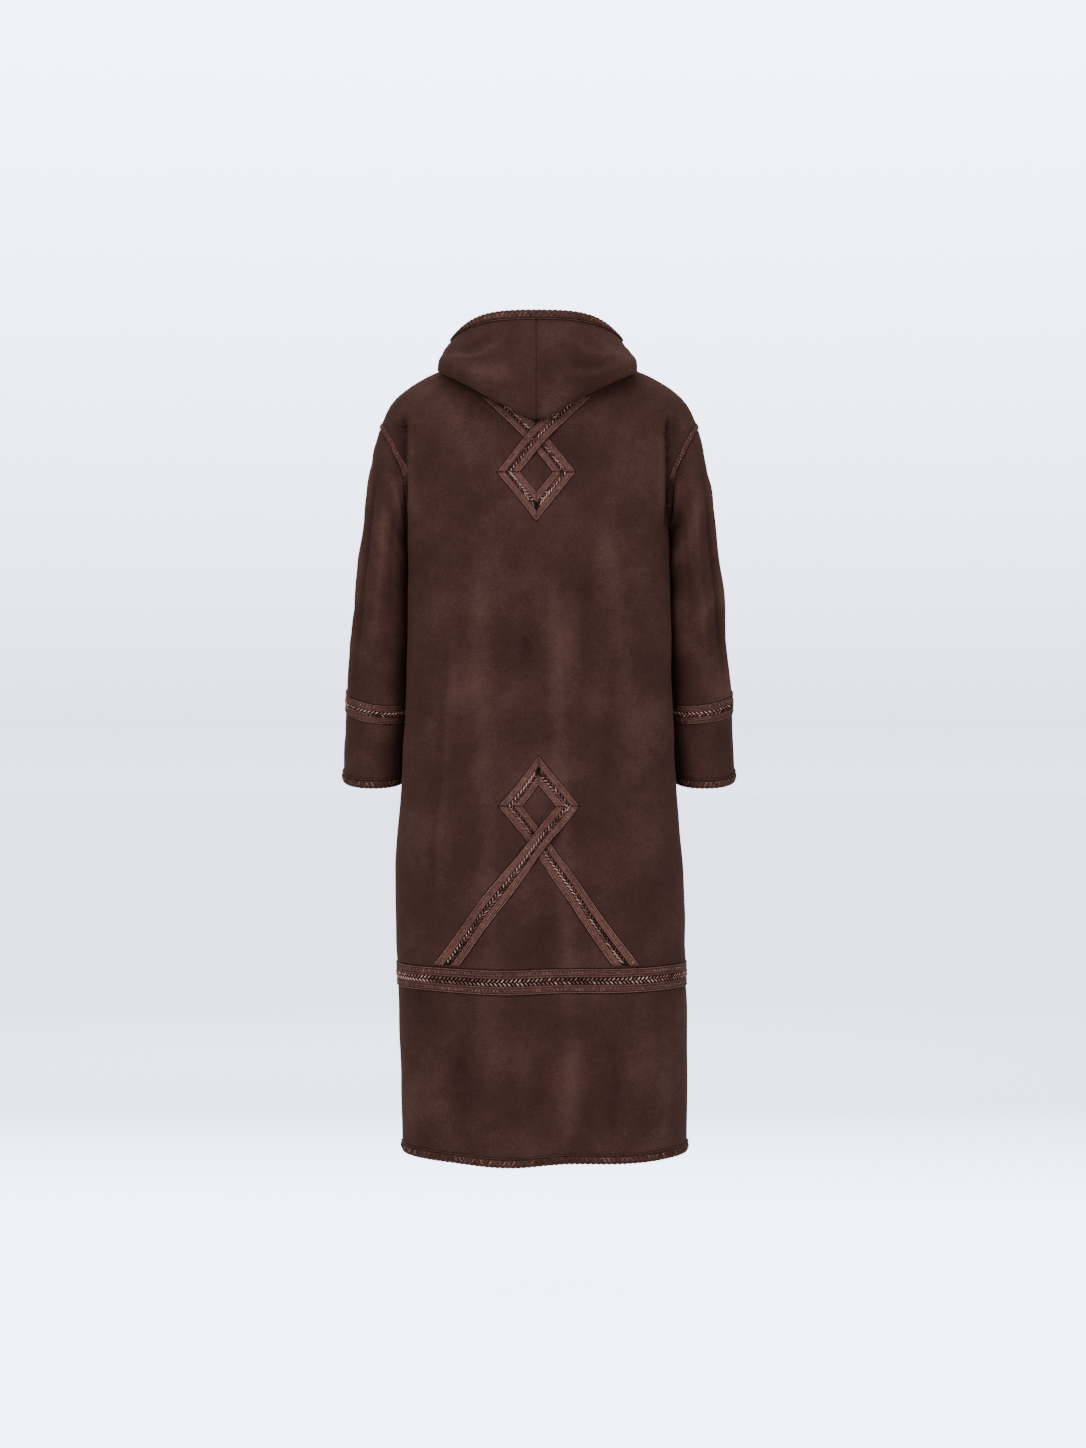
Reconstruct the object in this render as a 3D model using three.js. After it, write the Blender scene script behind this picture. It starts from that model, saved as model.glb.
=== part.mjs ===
// A long hooded robe of brown suede with the clipped fur left on its inner side. It is hollow and
// hangs as it does when worn, with the hood down on the back.
// +Z is up and the front faces -Y, so the robe's own left is +X. The origin is the middle of the neck
// opening, level with the back neckline, where the robe is held up.
// All sizes are millimetres.
import * as THREE from "three";

const WALL = 6; // 1.5 mm of suede with 4.5 mm of clipped fur on its inner side
const SEAM = 0.3; // gap between pieces that are sewn to each other
const TRIM_GAP = 0.9; // gap between a braid and the cloth that it lies on
const HEM_LEVEL = -1306;
const NECK_LEVEL = 0;
// The cloth of each front stops this far from the centre, and its binding fills the rest.
const FRONT_EDGE = 4;

// The body's sections, from the hem up to the neckline. back and front are depths from the middle, square is
// the exponent of the outline (2 is an ellipse), pinch is how far the sides are pressed in under the sleeves,
// as a share of the width, and drop is how far the section dips at the front.
const BODY_ROWS = [
  { level: -1306, halfWidth: 228, back: 147, front: 144, square: 2.45, pinch: 0, drop: 0 },
  { level: -1150, halfWidth: 230, back: 146, front: 142, square: 2.45, pinch: 0, drop: 0 },
  { level: -1000, halfWidth: 231, back: 145, front: 140, square: 2.45, pinch: 0, drop: 0 },
  { level: -850, halfWidth: 233, back: 144, front: 139, square: 2.45, pinch: 0.02, drop: 0 },
  { level: -720, halfWidth: 233, back: 143, front: 138, square: 2.45, pinch: 0.09, drop: 0 },
  { level: -600, halfWidth: 230, back: 142, front: 137, square: 2.45, pinch: 0.13, drop: 0 },
  { level: -450, halfWidth: 226, back: 142, front: 134, square: 2.45, pinch: 0.14, drop: 0 },
  { level: -300, halfWidth: 224, back: 143, front: 129, square: 2.45, pinch: 0.13, drop: 0 },
  { level: -212, halfWidth: 246, back: 140, front: 121, square: 2.35, pinch: 0.05, drop: 0 },
  { level: -165, halfWidth: 262, back: 135, front: 115, square: 2.25, pinch: 0.01, drop: 2 },
  { level: -130, halfWidth: 260, back: 128, front: 110, square: 2.15, pinch: 0, drop: 8 },
  { level: -114, halfWidth: 254, back: 124, front: 108, square: 2.05, pinch: 0, drop: 12 },
  { level: -98, halfWidth: 247, back: 119, front: 106, square: 1.97, pinch: 0, drop: 18 },
  { level: -82, halfWidth: 236, back: 113, front: 104, square: 1.9, pinch: 0, drop: 24 },
  { level: -65, halfWidth: 216, back: 104, front: 101, square: 1.86, pinch: 0, drop: 31 },
  { level: -49, halfWidth: 190, back: 96, front: 98, square: 1.85, pinch: 0, drop: 37 },
  { level: -36, halfWidth: 163, back: 89, front: 96, square: 1.85, pinch: 0, drop: 42 },
  { level: -22, halfWidth: 131, back: 82, front: 93, square: 1.9, pinch: 0, drop: 47 },
  { level: -12, halfWidth: 105, back: 76, front: 89, square: 1.95, pinch: 0, drop: 51 },
  { level: -5, halfWidth: 84, back: 70, front: 83, square: 2, pinch: 0, drop: 54 },
  { level: 0, halfWidth: 78, back: 68, front: 80, square: 2, pinch: 0, drop: 55 },
];
const PINCH = { forward: 20, reach: 55 }; // where along the side the pinch is deepest, and how far it reaches

// Soft folds in the body. angle is round from the robe's left (90 is the centre back), width is half of the
// fold's spread in degrees, out is its height, and it fades in from top to full and lasts to the hem.
const BODY_FOLDS = [
  { angle: 103, width: 11, out: 3.5, top: -430, full: -720 },
  { angle: 84, width: 12, out: -4, top: -420, full: -700 },
  { angle: 62, width: 12, out: 3.5, top: -260, full: -560 },
  { angle: 124, width: 12, out: -4, top: -620, full: -1150 },
  { angle: 142, width: 12, out: 3.5, top: -560, full: -900 },
  { angle: 40, width: 12, out: -4, top: -760, full: -1150 },
  { angle: 286, width: 12, out: -4, top: -360, full: -820 },
  { angle: 252, width: 12, out: -4, top: -330, full: -760 },
  { angle: 308, width: 12, out: 4, top: -520, full: -1050 },
  { angle: 231, width: 12, out: 4, top: -560, full: -1000 },
];
// The crease that runs down beside the armhole, where the wide back laps over the sleeve.
const CREASE = {
  from: 213,
  rise: 10,
  fade: 34,
  top: -92,
  full: -205,
  end: -330,
  deep: 15,
  front: 0.5,
  clear: 45,
};
// The hem lifts at the centre back and at the sides.
const HEM_LIFT = { from: -900, centre: 9, spread: 17, side: 10 };

// The armhole is a rounded slot in the side of the body.
const ARMHOLE = { top: -130, bottom: -300, back: 18.5, front: 18.5, round: 1.2 };

// Rings of the sleeve from the armhole to the cuff, each through an outer point (outX, outZ) and an inner one.
// deep is the half depth, lean is how much the back hangs lower than the front, and leave is how far a ring
// has left the armhole's own shape behind.
const SLEEVE_ROWS = [
  { along: 0, outX: 260, outZ: -130, inX: 198.4, inZ: -300, centreY: 0, deep: 62, lean: 0, leave: 0 },
  { along: 0.06, outX: 268, outZ: -160, inX: 204, inZ: -302, centreY: 0, deep: 65, lean: 0, leave: 0.2 },
  { along: 0.14, outX: 275.5, outZ: -197, inX: 208, inZ: -313, centreY: 0, deep: 68, lean: 0.02, leave: 0.5 },
  { along: 0.24, outX: 282.5, outZ: -242, inX: 210, inZ: -336, centreY: -1, deep: 72, lean: 0.05, leave: 0.8 },
  { along: 0.36, outX: 290.5, outZ: -305, inX: 211, inZ: -376, centreY: -4, deep: 75, lean: 0.09, leave: 1 },
  { along: 0.5, outX: 299.5, outZ: -382, inX: 211, inZ: -432, centreY: -10, deep: 76, lean: 0.13, leave: 1 },
  { along: 0.64, outX: 307.5, outZ: -468, inX: 212, inZ: -500, centreY: -19, deep: 76, lean: 0.19, leave: 1 },
  { along: 0.78, outX: 314, outZ: -554, inX: 214, inZ: -574, centreY: -30, deep: 75, lean: 0.25, leave: 1 },
  { along: 0.9, outX: 318.5, outZ: -636, inX: 217, inZ: -646, centreY: -40, deep: 74, lean: 0.24, leave: 1 },
  { along: 1, outX: 321.5, outZ: -704, inX: 220, inZ: -710, centreY: -48, deep: 73, lean: 0.21, leave: 1 },
];
const SLEEVE_SQUARE = 2.15;
const SLEEVE_UNDERCUT = 0.004; // the fur side starts this share of the length further from the armhole seam
const SLEEVE_START = { x: 1.5 * SEAM, z: -0.4 * SEAM }; // how far the sleeve stands off the armhole's edge
const SLEEVE_TURN_IN = 0.1; // over this share of its length the sleeve's wall turns from the body's to its own
const SLEEVE_FOLDS = [
  { angle: 32, width: 9, out: 3.5, top: 0.03, full: 0.2, fade: 0.72, end: 0.98 },
  { angle: 49, width: 10, out: -3, top: 0.03, full: 0.2, fade: 0.6, end: 0.95 },
];

// Rings of the hood from the neckline (0) to the braided rim (1): up round the neckline, over, down on the back
// to the pointed fold at 0.58, and up again outside. A ring is widest at middleY and reaches backY and frontY.
const HOOD_ROWS = [
  { along: 0, halfWidth: 78, middleY: 0, backY: 68, frontY: -80, sideZ: 0, backZ: 0, frontZ: -55 },
  { along: 0.08, halfWidth: 83, middleY: 3, backY: 72, frontY: -83, sideZ: 15, backZ: 16, frontZ: -50 },
  { along: 0.18, halfWidth: 94, middleY: 9, backY: 83, frontY: -86, sideZ: 21, backZ: 25, frontZ: -47.5 },
  { along: 0.28, halfWidth: 108, middleY: 20, backY: 96, frontY: -89, sideZ: 9, backZ: 13, frontZ: -46.5 },
  { along: 0.4, halfWidth: 126, middleY: 38, backY: 112, frontY: -91.5, sideZ: -22, backZ: -36, frontZ: -46.5 },
  { along: 0.52, halfWidth: 146, middleY: 57, backY: 131, frontY: -95, sideZ: -42, backZ: -98, frontZ: -46.5 },
  { along: 0.58, halfWidth: 154, middleY: 62, backY: 143, frontY: -99.5, sideZ: -47, backZ: -127, frontZ: -46.5 },
  { along: 0.63, halfWidth: 165, middleY: 66, backY: 156, frontY: -107, sideZ: -40, backZ: -123, frontZ: -45.5 },
  { along: 0.7, halfWidth: 162, middleY: 64, backY: 163, frontY: -113, sideZ: -27, backZ: -102, frontZ: -43 },
  { along: 0.85, halfWidth: 151, middleY: 54, backY: 159, frontY: -120, sideZ: -8, backZ: -32, frontZ: -37 },
  { along: 1, halfWidth: 137, middleY: 40, backY: 143, frontY: -124, sideZ: 12, backZ: 47, frontZ: -29 },
];
// How the rings lie. bend and frontBend say how a ring's height changes from the centre back to the side and
// from there to the front (1 is a straight slope, and more is later). clear is its least height above the
// robe's shoulders.
const HOOD_LIES = [
  { along: 0, bend: 3, frontBend: 1.6, clear: 1 },
  { along: 0.18, bend: 3, frontBend: 1.6, clear: 5 },
  { along: 0.4, bend: 1.7, frontBend: 1.7, clear: 3 },
  { along: 0.58, bend: 1.15, frontBend: 2, clear: 3 },
  { along: 0.63, bend: 1.15, frontBend: 2.2, clear: 9 },
  { along: 0.7, bend: 1.2, frontBend: 2.4, clear: 19 },
  { along: 0.85, bend: 2.2, frontBend: 2.7, clear: 33 },
  { along: 1, bend: 4, frontBend: 3, clear: 43 },
];
const HOOD_CLEAR_ROUND = 6; // over this height a ring eases from its own height to the least one
const HOOD_FRONT_EDGE = 1.5; // the hood's two ends stop this far from the centre of the front
const HOOD_START = 0.08; // over this share of its length the hood leaves the neckline's own shape

// The braided strap's section: across is from its middle as a share of its width, and up is its height.
const STRAP_PROFILE = [
  { across: -0.5, up: 1.4 },
  { across: -0.36, up: 2.3 },
  { across: -0.16, up: 1.7 },
  { across: 0, up: 3.2 },
  { across: 0.16, up: 1.7 },
  { across: 0.36, up: 2.3 },
  { across: 0.5, up: 1.4 },
];
const TAPE_PROFILE = [
  { across: -0.5, up: 1.3 },
  { across: 0, up: 1.7 },
  { across: 0.5, up: 1.3 },
];
const TAPE = { near: 3.6, far: 10.5, lift: 1.5 }; // the armhole tape: from and to the armhole's edge
const SKIRT_BAND = { level: -1018, width: 39 };
const SLEEVE_BAND = { along: 0.822, width: 32 };
const STRAP_WIDTH = 30;

// The two diamond motifs on the back, in the plane of the back: the middle of the diamond, its half width and
// half height along the strap's middle line, and where the strap's two free ends lie.
const UPPER_MOTIF = {
  middleX: 4,
  middleZ: -210,
  halfWidth: 42.5,
  halfHeight: 54.5,
  opensUp: true,
  overEnd: { x: -62, z: -86 },
  underEnd: { x: 69, z: -87 },
};
const LOWER_MOTIF = {
  middleX: 0,
  middleZ: -741,
  halfWidth: 44,
  halfHeight: 56,
  opensUp: false,
  overEnd: { x: 152, z: -995.5 },
  underEnd: { x: -134, z: -995.5 },
};
// How the strap that lies on top climbs over the other.
const CROSSING = { lift: 4.6, reach: 25, ramp: 22 };

// The braided binding's section at an edge: inward is from the cloth's edge into the cloth, and up is from its
// suede face. It is one closed loop, which lies on the suede and turns over the edge down to the fur.
const BINDING_PROFILE = [
  { inward: 13.5, up: 0.9 },
  { inward: 12.5, up: 2.4 },
  { inward: 5.5, up: 3.3 },
  { inward: -1.2, up: 2.4 },
  { inward: -2.6, up: -2 },
  { inward: -1.4, up: -6.4 },
  { inward: -0.5, up: -6.2 },
  { inward: -0.5, up: 0.9 },
];

// The hood's binding is narrower, and looser on its curved rim. It lies on the hood's last rings.
const RIM_BINDING = { width: 0.85, ease: 0.4 };
const RIM_RINGS = 8;
const FRONT_BINDING_END = 16; // the front's binding stops this far above the hem

const BACK_COLUMNS = 28;
const FRONT_COLUMNS = 10;
const COLUMN_EASE = 0.3; // how much closer together the back's columns are at its sides
const ARMHOLE_STEPS = 10;
const SLEEVE_RINGS = [0, 0.03, 0.07, 0.12, 0.18, 0.26, 0.36, 0.48, 0.6, 0.73, 0.87, 1];
const HOOD_BACK_COLUMNS = 10;
const HOOD_RINGS = [0, 0.06, 0.12, 0.18, 0.25, 0.33, 0.42, 0.5, 0.58, 0.63, 0.7, 0.82, 0.935, 1];
const HALVINGS = 24; // steps in the search for a height
const SKIRT_STEP = 91.5; // height of a row of faces below the armhole
const STRAP_STEP = 17; // length of a row of faces along a strap

const SUEDE = { color: 0x452b27, roughness: 0.92, metalness: 0 };
const BRAID = { color: 0x5e423d, roughness: 0.6, metalness: 0 };

const radians = THREE.MathUtils.degToRad;
const inDegrees = THREE.MathUtils.radToDeg;
const smooth = (t) => THREE.MathUtils.smoothstep(t, 0, 1);
const bell = (t) => Math.exp(-t * t);
const mix = THREE.MathUtils.lerp;

/** A column of a table at a key between its rows: a cubic through the rows that never overshoots them. */
function columnAt(rows, key, column, where) {
  const last = rows.length - 1;
  const at = THREE.MathUtils.clamp(where, rows[0][key], rows[last][key]);
  let i = 0;
  while (i < last - 1 && at > rows[i + 1][key]) i += 1;
  const slope = (k) => (rows[k + 1][column] - rows[k][column]) / (rows[k + 1][key] - rows[k][key]);
  const tangent = (k) => {
    if (k === 0) return slope(0);
    if (k === last) return slope(last - 1);
    const [before, after] = [slope(k - 1), slope(k)];
    return before * after <= 0 ? 0 : (2 * before * after) / (before + after);
  };
  const span = rows[i + 1][key] - rows[i][key];
  const t = (at - rows[i][key]) / span;
  const [t2, t3] = [t * t, t * t * t];
  return (
    (2 * t3 - 3 * t2 + 1) * rows[i][column] +
    (t3 - 2 * t2 + t) * span * tangent(i) +
    (3 * t2 - 2 * t3) * rows[i + 1][column] +
    (t3 - t2) * span * tangent(i + 1)
  );
}

/** The distance from the middle of a superellipse to its edge, in the direction of a cosine and a sine. */
function superRadius(c, s, halfWidth, depth, square) {
  const sum = Math.abs(c / halfWidth) ** square + Math.abs(s / depth) ** square;
  return sum ** (-1 / square);
}

/** How far the body's soft folds stand out at an angle (degrees, 0 to 360) and a level. */
function bodyFoldOut(degrees, level) {
  let out = 0;
  for (const fold of BODY_FOLDS) {
    const strength = smooth((fold.top - level) / (fold.top - fold.full));
    out += fold.out * strength * bell((degrees - fold.angle) / fold.width);
  }
  return out;
}

/** The depth of the crease beside the armhole, at a distance from the centre, a place in depth and a level. */
function creaseDepth(distance, y, level) {
  const above = smooth((CREASE.top - level) / (CREASE.top - CREASE.full));
  const below = smooth((level - CREASE.end) / (CREASE.full - CREASE.end));
  const past = distance - CREASE.from;
  const across = smooth(past / CREASE.rise) * bell(Math.max(0, past - CREASE.rise) / CREASE.fade);
  return Math.sign(y) * CREASE.deep * above * below * across * smooth(Math.abs(y) / CREASE.clear);
}

/** A point of the suede face of the body, at an angle in degrees (0 is the robe's left, 90 the back). */
function bodyPoint(degrees, level) {
  const [c, s] = [Math.cos(radians(degrees)), Math.sin(radians(degrees))];
  const at = (column) => columnAt(BODY_ROWS, "level", column, level);
  const depth = s >= 0 ? at("back") : at("front");
  const turned = ((degrees % 360) + 360) % 360;
  const r = superRadius(c, s, at("halfWidth"), depth, at("square")) + bodyFoldOut(turned, level);
  const y = r * s;
  const x = r * c * (1 - at("pinch") * bell((y + PINCH.forward) / PINCH.reach));
  const crease = creaseDepth(Math.abs(x), y, level) * (s >= 0 ? 1 : CREASE.front);
  const dip = at("drop") * Math.max(0, -s) ** 1.5;
  const low = THREE.MathUtils.clamp((HEM_LIFT.from - level) / (HEM_LIFT.from - HEM_LEVEL), 0, 1);
  const lift = HEM_LIFT.centre * bell((turned - 90) / HEM_LIFT.spread) + HEM_LIFT.side * c ** 4;
  return new THREE.Vector3(x, y - crease, level - dip + lift * low * (2 - low));
}

/** A surface's unit normal at (u, v), turned to the side that outward says (1 or -1). */
function normalOf(surface, u, v, stepU, stepV, outward) {
  const alongU = surface(u + stepU, v).sub(surface(u - stepU, v));
  const alongV = surface(u, v + stepV).sub(surface(u, v - stepV));
  return alongU.cross(alongV).normalize().multiplyScalar(outward);
}
const bodyNormal = (degrees, level) => normalOf(bodyPoint, degrees, level, 0.2, 0.5, 1);
function bodyPlace(degrees, level) {
  return { point: bodyPoint(degrees, level), normal: bodyNormal(degrees, level) };
}

/** The armhole's angle from the side at a turn round it (0 is the shoulder, 90 the back, 180 the underarm). */
function armholeAngle(turn) {
  const s = Math.sin(radians(turn));
  return Math.sign(s) * (s >= 0 ? ARMHOLE.back : ARMHOLE.front) * Math.abs(s) ** ARMHOLE.round;
}
const armholeMiddle = (ARMHOLE.top + ARMHOLE.bottom) / 2;
const armholeHalf = (ARMHOLE.top - ARMHOLE.bottom) / 2;
const armholeRadius = 235; // the body's half width beside the armhole

/** A point of the body beside the left armhole, at a distance from its edge. */
function besideArmhole(turn, distance) {
  const [c, s] = [Math.cos(radians(turn)), Math.sin(radians(turn))];
  const spread = inDegrees(distance / armholeRadius) * s;
  return { degrees: armholeAngle(turn) + spread, level: armholeMiddle + (armholeHalf + distance) * c };
}
function armholePoint(turn) {
  const place = besideArmhole(turn, 0);
  return bodyPoint(place.degrees, place.level);
}

/** The side edge of a body panel at a level: 0 at a seam, and the armhole's edge beside the sleeve. */
function panelSide(level, isBack) {
  const c = (level - armholeMiddle) / armholeHalf;
  if (Math.abs(c) >= 1) return 0;
  return Math.abs(armholeAngle(inDegrees(Math.acos(c)) * (isBack ? 1 : -1)));
}

/** An ellipse-like ring of the sleeve through its outer and inner points. */
function sleeveRing(turn, along) {
  const at = (column) => columnAt(SLEEVE_ROWS, "along", column, along);
  const [c, s] = [Math.cos(radians(turn)), Math.sin(radians(turn))];
  const r = superRadius(c, s, 1, 1, SLEEVE_SQUARE);
  const [outX, inX, outZ, inZ] = [at("outX"), at("inX"), at("outZ"), at("inZ")];
  const y = at("deep") * r * s;
  return new THREE.Vector3(
    (outX + inX) / 2 + ((outX - inX) / 2) * r * c,
    at("centreY") + y,
    (outZ + inZ) / 2 + ((outZ - inZ) / 2) * r * c - at("lean") * y,
  );
}

/** A point of the suede face of the left sleeve: its ring, moved by what is left of the armhole's shape. */
function sleevePoint(turn, along) {
  const stay = 1 - columnAt(SLEEVE_ROWS, "along", "leave", along);
  const point = sleeveRing(turn, along);
  point.addScaledVector(armholePoint(turn).sub(sleeveRing(turn, 0)), stay);
  const turned = ((turn % 360) + 360) % 360;
  for (const fold of SLEEVE_FOLDS) {
    const rise = smooth((along - fold.top) / (fold.full - fold.top));
    const fall = smooth((fold.end - along) / (fold.end - fold.fade));
    const out = fold.out * rise * fall * bell((turned - fold.angle) / fold.width);
    point.x += out * Math.cos(radians(turn));
    point.y += out * Math.sin(radians(turn));
  }
  return point.add(new THREE.Vector3(SLEEVE_START.x, 0, SLEEVE_START.z));
}

/** The sleeve's normal. At the shoulder end it turns into the body's own, so that the two walls end square. */
function sleeveNormal(turn, along) {
  const own = normalOf(sleevePoint, turn, Math.max(along, 0.006), 1, 0.005, -1);
  const place = besideArmhole(turn, 0);
  const shoulder = (1 + Math.cos(radians(turn))) / 2;
  const bodyShare = shoulder * (1 - smooth(along / SLEEVE_TURN_IN));
  return own.lerp(bodyNormal(place.degrees, place.level), bodyShare).normalize();
}

/** The height of the body's suede face above a point near the neckline, found by halving. */
function shoulderHeight(x, y) {
  let [high, low] = [NECK_LEVEL, ARMHOLE.top];
  for (let i = 0; i < HALVINGS; i += 1) {
    const level = (high + low) / 2;
    const at = (column) => columnAt(BODY_ROWS, "level", column, level);
    const depth = y >= 0 ? at("back") : at("front");
    const inside = Math.abs(x / at("halfWidth")) ** at("square") + Math.abs(y / depth) ** at("square") < 1;
    if (inside) low = level;
    else high = level;
  }
  const front = Math.max(0, -y) / Math.hypot(x, y);
  return low - columnAt(BODY_ROWS, "level", "drop", low) * front ** 1.5;
}

/** The greater of two heights, with the corner between them rounded off. */
function roundedMax(a, b, round) {
  const near = Math.max(0, round - Math.abs(a - b)) / round;
  return Math.max(a, b) + (near * near * round) / 4;
}

/** A point of the hood's suede face. degrees runs from -90 at the centre front to 90 at the centre back. */
function hoodPoint(degrees, along) {
  const at = (column) => columnAt(HOOD_ROWS, "along", column, along);
  const lieAt = (column) => columnAt(HOOD_LIES, "along", column, along);
  const [c, s] = [Math.cos(radians(degrees)), Math.sin(radians(degrees))];
  const [middle, sideZ] = [at("middleY"), at("sideZ")];
  const depth = Math.abs((s >= 0 ? at("backY") : at("frontY")) - middle);
  const r = superRadius(c, s, at("halfWidth"), depth, 2);
  const [x, y] = [r * c, middle + r * s];
  const height = s >= 0
    ? mix(at("backZ"), sideZ, Math.abs(x / at("halfWidth")) ** lieAt("bend"))
    : mix(sideZ, at("frontZ"), Math.abs(s) ** lieAt("frontBend"));
  const least = shoulderHeight(x, y) + lieAt("clear");
  const ring = new THREE.Vector3(x, y, roundedMax(height, least, HOOD_CLEAR_ROUND));
  const base = bodyPoint(degrees, NECK_LEVEL).add(new THREE.Vector3(0, 0, SEAM));
  return base.lerp(ring, smooth(along / HOOD_START));
}

/** The hood's normal. At the centre seam it has no sideways part, so that both halves end in one plane. */
function hoodNormal(degrees, along) {
  const normal = normalOf(hoodPoint, degrees, THREE.MathUtils.clamp(along, 0.012, 0.988), 1, 0.01, 1);
  if (degrees > 89.5) normal.x = 0;
  return normal.normalize();
}

/** An angle from one side of the back to the other, with the columns closer together beside the armholes. */
function spreadAngle(t, from, to) {
  const eased = t - (COLUMN_EASE * Math.sin(2 * Math.PI * t)) / (2 * Math.PI);
  return mix(from, to, eased);
}

/** A solid from points and triangles, turned inside in if its faces point inwards. */
function geometryOf(points, triangles) {
  let volume = 0;
  for (let i = 0; i < triangles.length; i += 3) {
    const [a, b, c] = [points[triangles[i]], points[triangles[i + 1]], points[triangles[i + 2]]];
    volume += a.dot(new THREE.Vector3().crossVectors(b, c));
  }
  if (volume < 0) triangles.reverse();
  const geometry = new THREE.BufferGeometry();
  geometry.setAttribute("position", new THREE.Float32BufferAttribute(points.flatMap((p) => p.toArray()), 3));
  geometry.setIndex(triangles);
  geometry.computeVertexNormals();
  return geometry;
}

/**
 * A wall between an outer grid of points and the same grid moved in. A round one closes on itself. From the
 * column given by turnsAt on, each face is split along its other diagonal, which makes a panel symmetric.
 */
function wallSolid(outer, inner, { round = false, turnsAt = Infinity } = {}) {
  const [rows, columns] = [outer.length, outer[0].length];
  const at = (side, i, j) => side * rows * columns + i * columns + (j % columns);
  const triangles = [];
  const quad = (a, b, c, d, turned = false) => {
    if (turned) triangles.push(b, c, d, b, d, a);
    else triangles.push(a, b, c, a, c, d);
  };
  const spans = round ? columns : columns - 1;
  for (let i = 0; i < rows - 1; i += 1) {
    for (let j = 0; j < spans; j += 1) {
      const turned = j >= turnsAt;
      quad(at(0, i, j), at(0, i, j + 1), at(0, i + 1, j + 1), at(0, i + 1, j), turned);
      quad(at(1, i, j), at(1, i + 1, j), at(1, i + 1, j + 1), at(1, i, j + 1), turned);
    }
  }
  for (let j = 0; j < spans; j += 1) {
    quad(at(1, 0, j), at(1, 0, j + 1), at(0, 0, j + 1), at(0, 0, j));
    quad(at(0, rows - 1, j), at(0, rows - 1, j + 1), at(1, rows - 1, j + 1), at(1, rows - 1, j));
  }
  for (let i = 0; i < rows - 1 && !round; i += 1) {
    quad(at(0, i, 0), at(0, i + 1, 0), at(1, i + 1, 0), at(1, i, 0));
    quad(at(1, i + 1, columns - 1), at(0, i + 1, columns - 1), at(0, i, columns - 1), at(1, i, columns - 1));
  }
  return geometryOf([...outer.flat(), ...inner.flat()], triangles);
}

/** The triangles that close a ring of nearly flat points, as indices into it, turned the way the ring is. */
function capTriangles(ring) {
  const from = (p) => p.clone().sub(ring[0]);
  const farthest = ring.reduce((best, p) => (from(p).length() > from(best).length() ? p : best));
  const u = from(farthest).normalize();
  const offLine = (p) => from(p).addScaledVector(u, -from(p).dot(u));
  const highest = ring.reduce((best, p) => (offLine(p).length() > offLine(best).length() ? p : best));
  const v = offLine(highest).normalize();
  const flat = ring.map((p) => new THREE.Vector2(from(p).dot(u), from(p).dot(v)));
  const turn = Math.sign(THREE.ShapeUtils.area(flat));
  return THREE.ShapeUtils.triangulateShape(flat, []).map(([a, b, c]) =>
    Math.sign(THREE.ShapeUtils.area([flat[a], flat[b], flat[c]])) === turn ? [a, b, c] : [a, c, b],
  );
}

/**
 * A section swept along a path. loops has the section's points at each step, and section its flat outline. The
 * two faces of a thin leg are split along the same diagonal, and past the middle along the other one, like the
 * panels under them.
 */
function sweptSolid(loops, section, round = false) {
  const [steps, count] = [loops.length, section.length];
  const at = (i, k) => (i % steps) * count + (k % count);
  const triangles = [];
  for (let i = 0; i < (round ? steps : steps - 1); i += 1) {
    for (let k = 0; k < count; k += 1) {
      const [a, b, c, d] = [at(i, k), at(i, k + 1), at(i + 1, k + 1), at(i + 1, k)];
      const inwards = section[(k + 1) % count].x > section[k].x;
      const pastMiddle = !round && i >= (steps - 1) / 2;
      if (inwards === pastMiddle) triangles.push(a, b, c, a, c, d);
      else triangles.push(b, c, d, b, d, a);
    }
  }
  if (!round) {
    for (const [a, b, c] of capTriangles(loops[0])) triangles.push(at(0, a), at(0, c), at(0, b));
    const end = steps - 1;
    for (const [a, b, c] of capTriangles(loops[end])) triangles.push(at(end, a), at(end, b), at(end, c));
  }
  return geometryOf(loops.flat(), triangles);
}

/** A flat strap with a raised profile, lying on a surface. place(step, across) gives the place there. */
function strapSolid(steps, width, profile, place, round = false) {
  const section = [
    ...profile.map((p) => new THREE.Vector2(p.across * width, p.up)),
    new THREE.Vector2(width / 2, 0),
    new THREE.Vector2(0, 0),
    new THREE.Vector2(-width / 2, 0),
  ];
  const loops = steps.map((step) =>
    section.map((corner) => {
      const { point, normal, lift = 0 } = place(step, corner.x);
      return point.clone().addScaledVector(normal, TRIM_GAP + corner.y + lift);
    }),
  );
  return sweptSolid(loops, section, round);
}

/** The point and normal at a distance in from the first of a line of places on a surface. */
function inFromEdge(places, inward) {
  let left = inward;
  let i = 0;
  let span = places[0].point.distanceTo(places[1].point);
  while (left > span && i < places.length - 2) {
    left -= span;
    i += 1;
    span = places[i].point.distanceTo(places[i + 1].point);
  }
  const point = places[i].point.clone().lerp(places[i + 1].point, left / span);
  return { point, normal: places[i].normal.clone().lerp(places[i + 1].normal, left / span) };
}

/**
 * A braided binding folded round an edge. lines has, for each step, the panel's own places from its edge
 * inward. Past the edge the binding goes straight on.
 */
function bindingSolid(lines, { width = 1, ease = 0, round = false } = {}) {
  const section = BINDING_PROFILE.map(
    (p) => new THREE.Vector2(p.inward > 0 ? p.inward * width : p.inward - ease, p.up + ease * Math.sign(p.up)),
  );
  const loops = lines.map((places) => {
    const off = places[0].point.clone().sub(inFromEdge(places, 1).point);
    return section.map((corner) => {
      const { point, normal } = inFromEdge(places, Math.max(0, corner.x));
      return point.addScaledVector(normal, corner.y).addScaledVector(off, Math.max(0, -corner.x));
    });
  });
  return sweptSolid(loops, section, round);
}

const fractions = (count) => Array.from({ length: count + 1 }, (_, i) => i / count);

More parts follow.
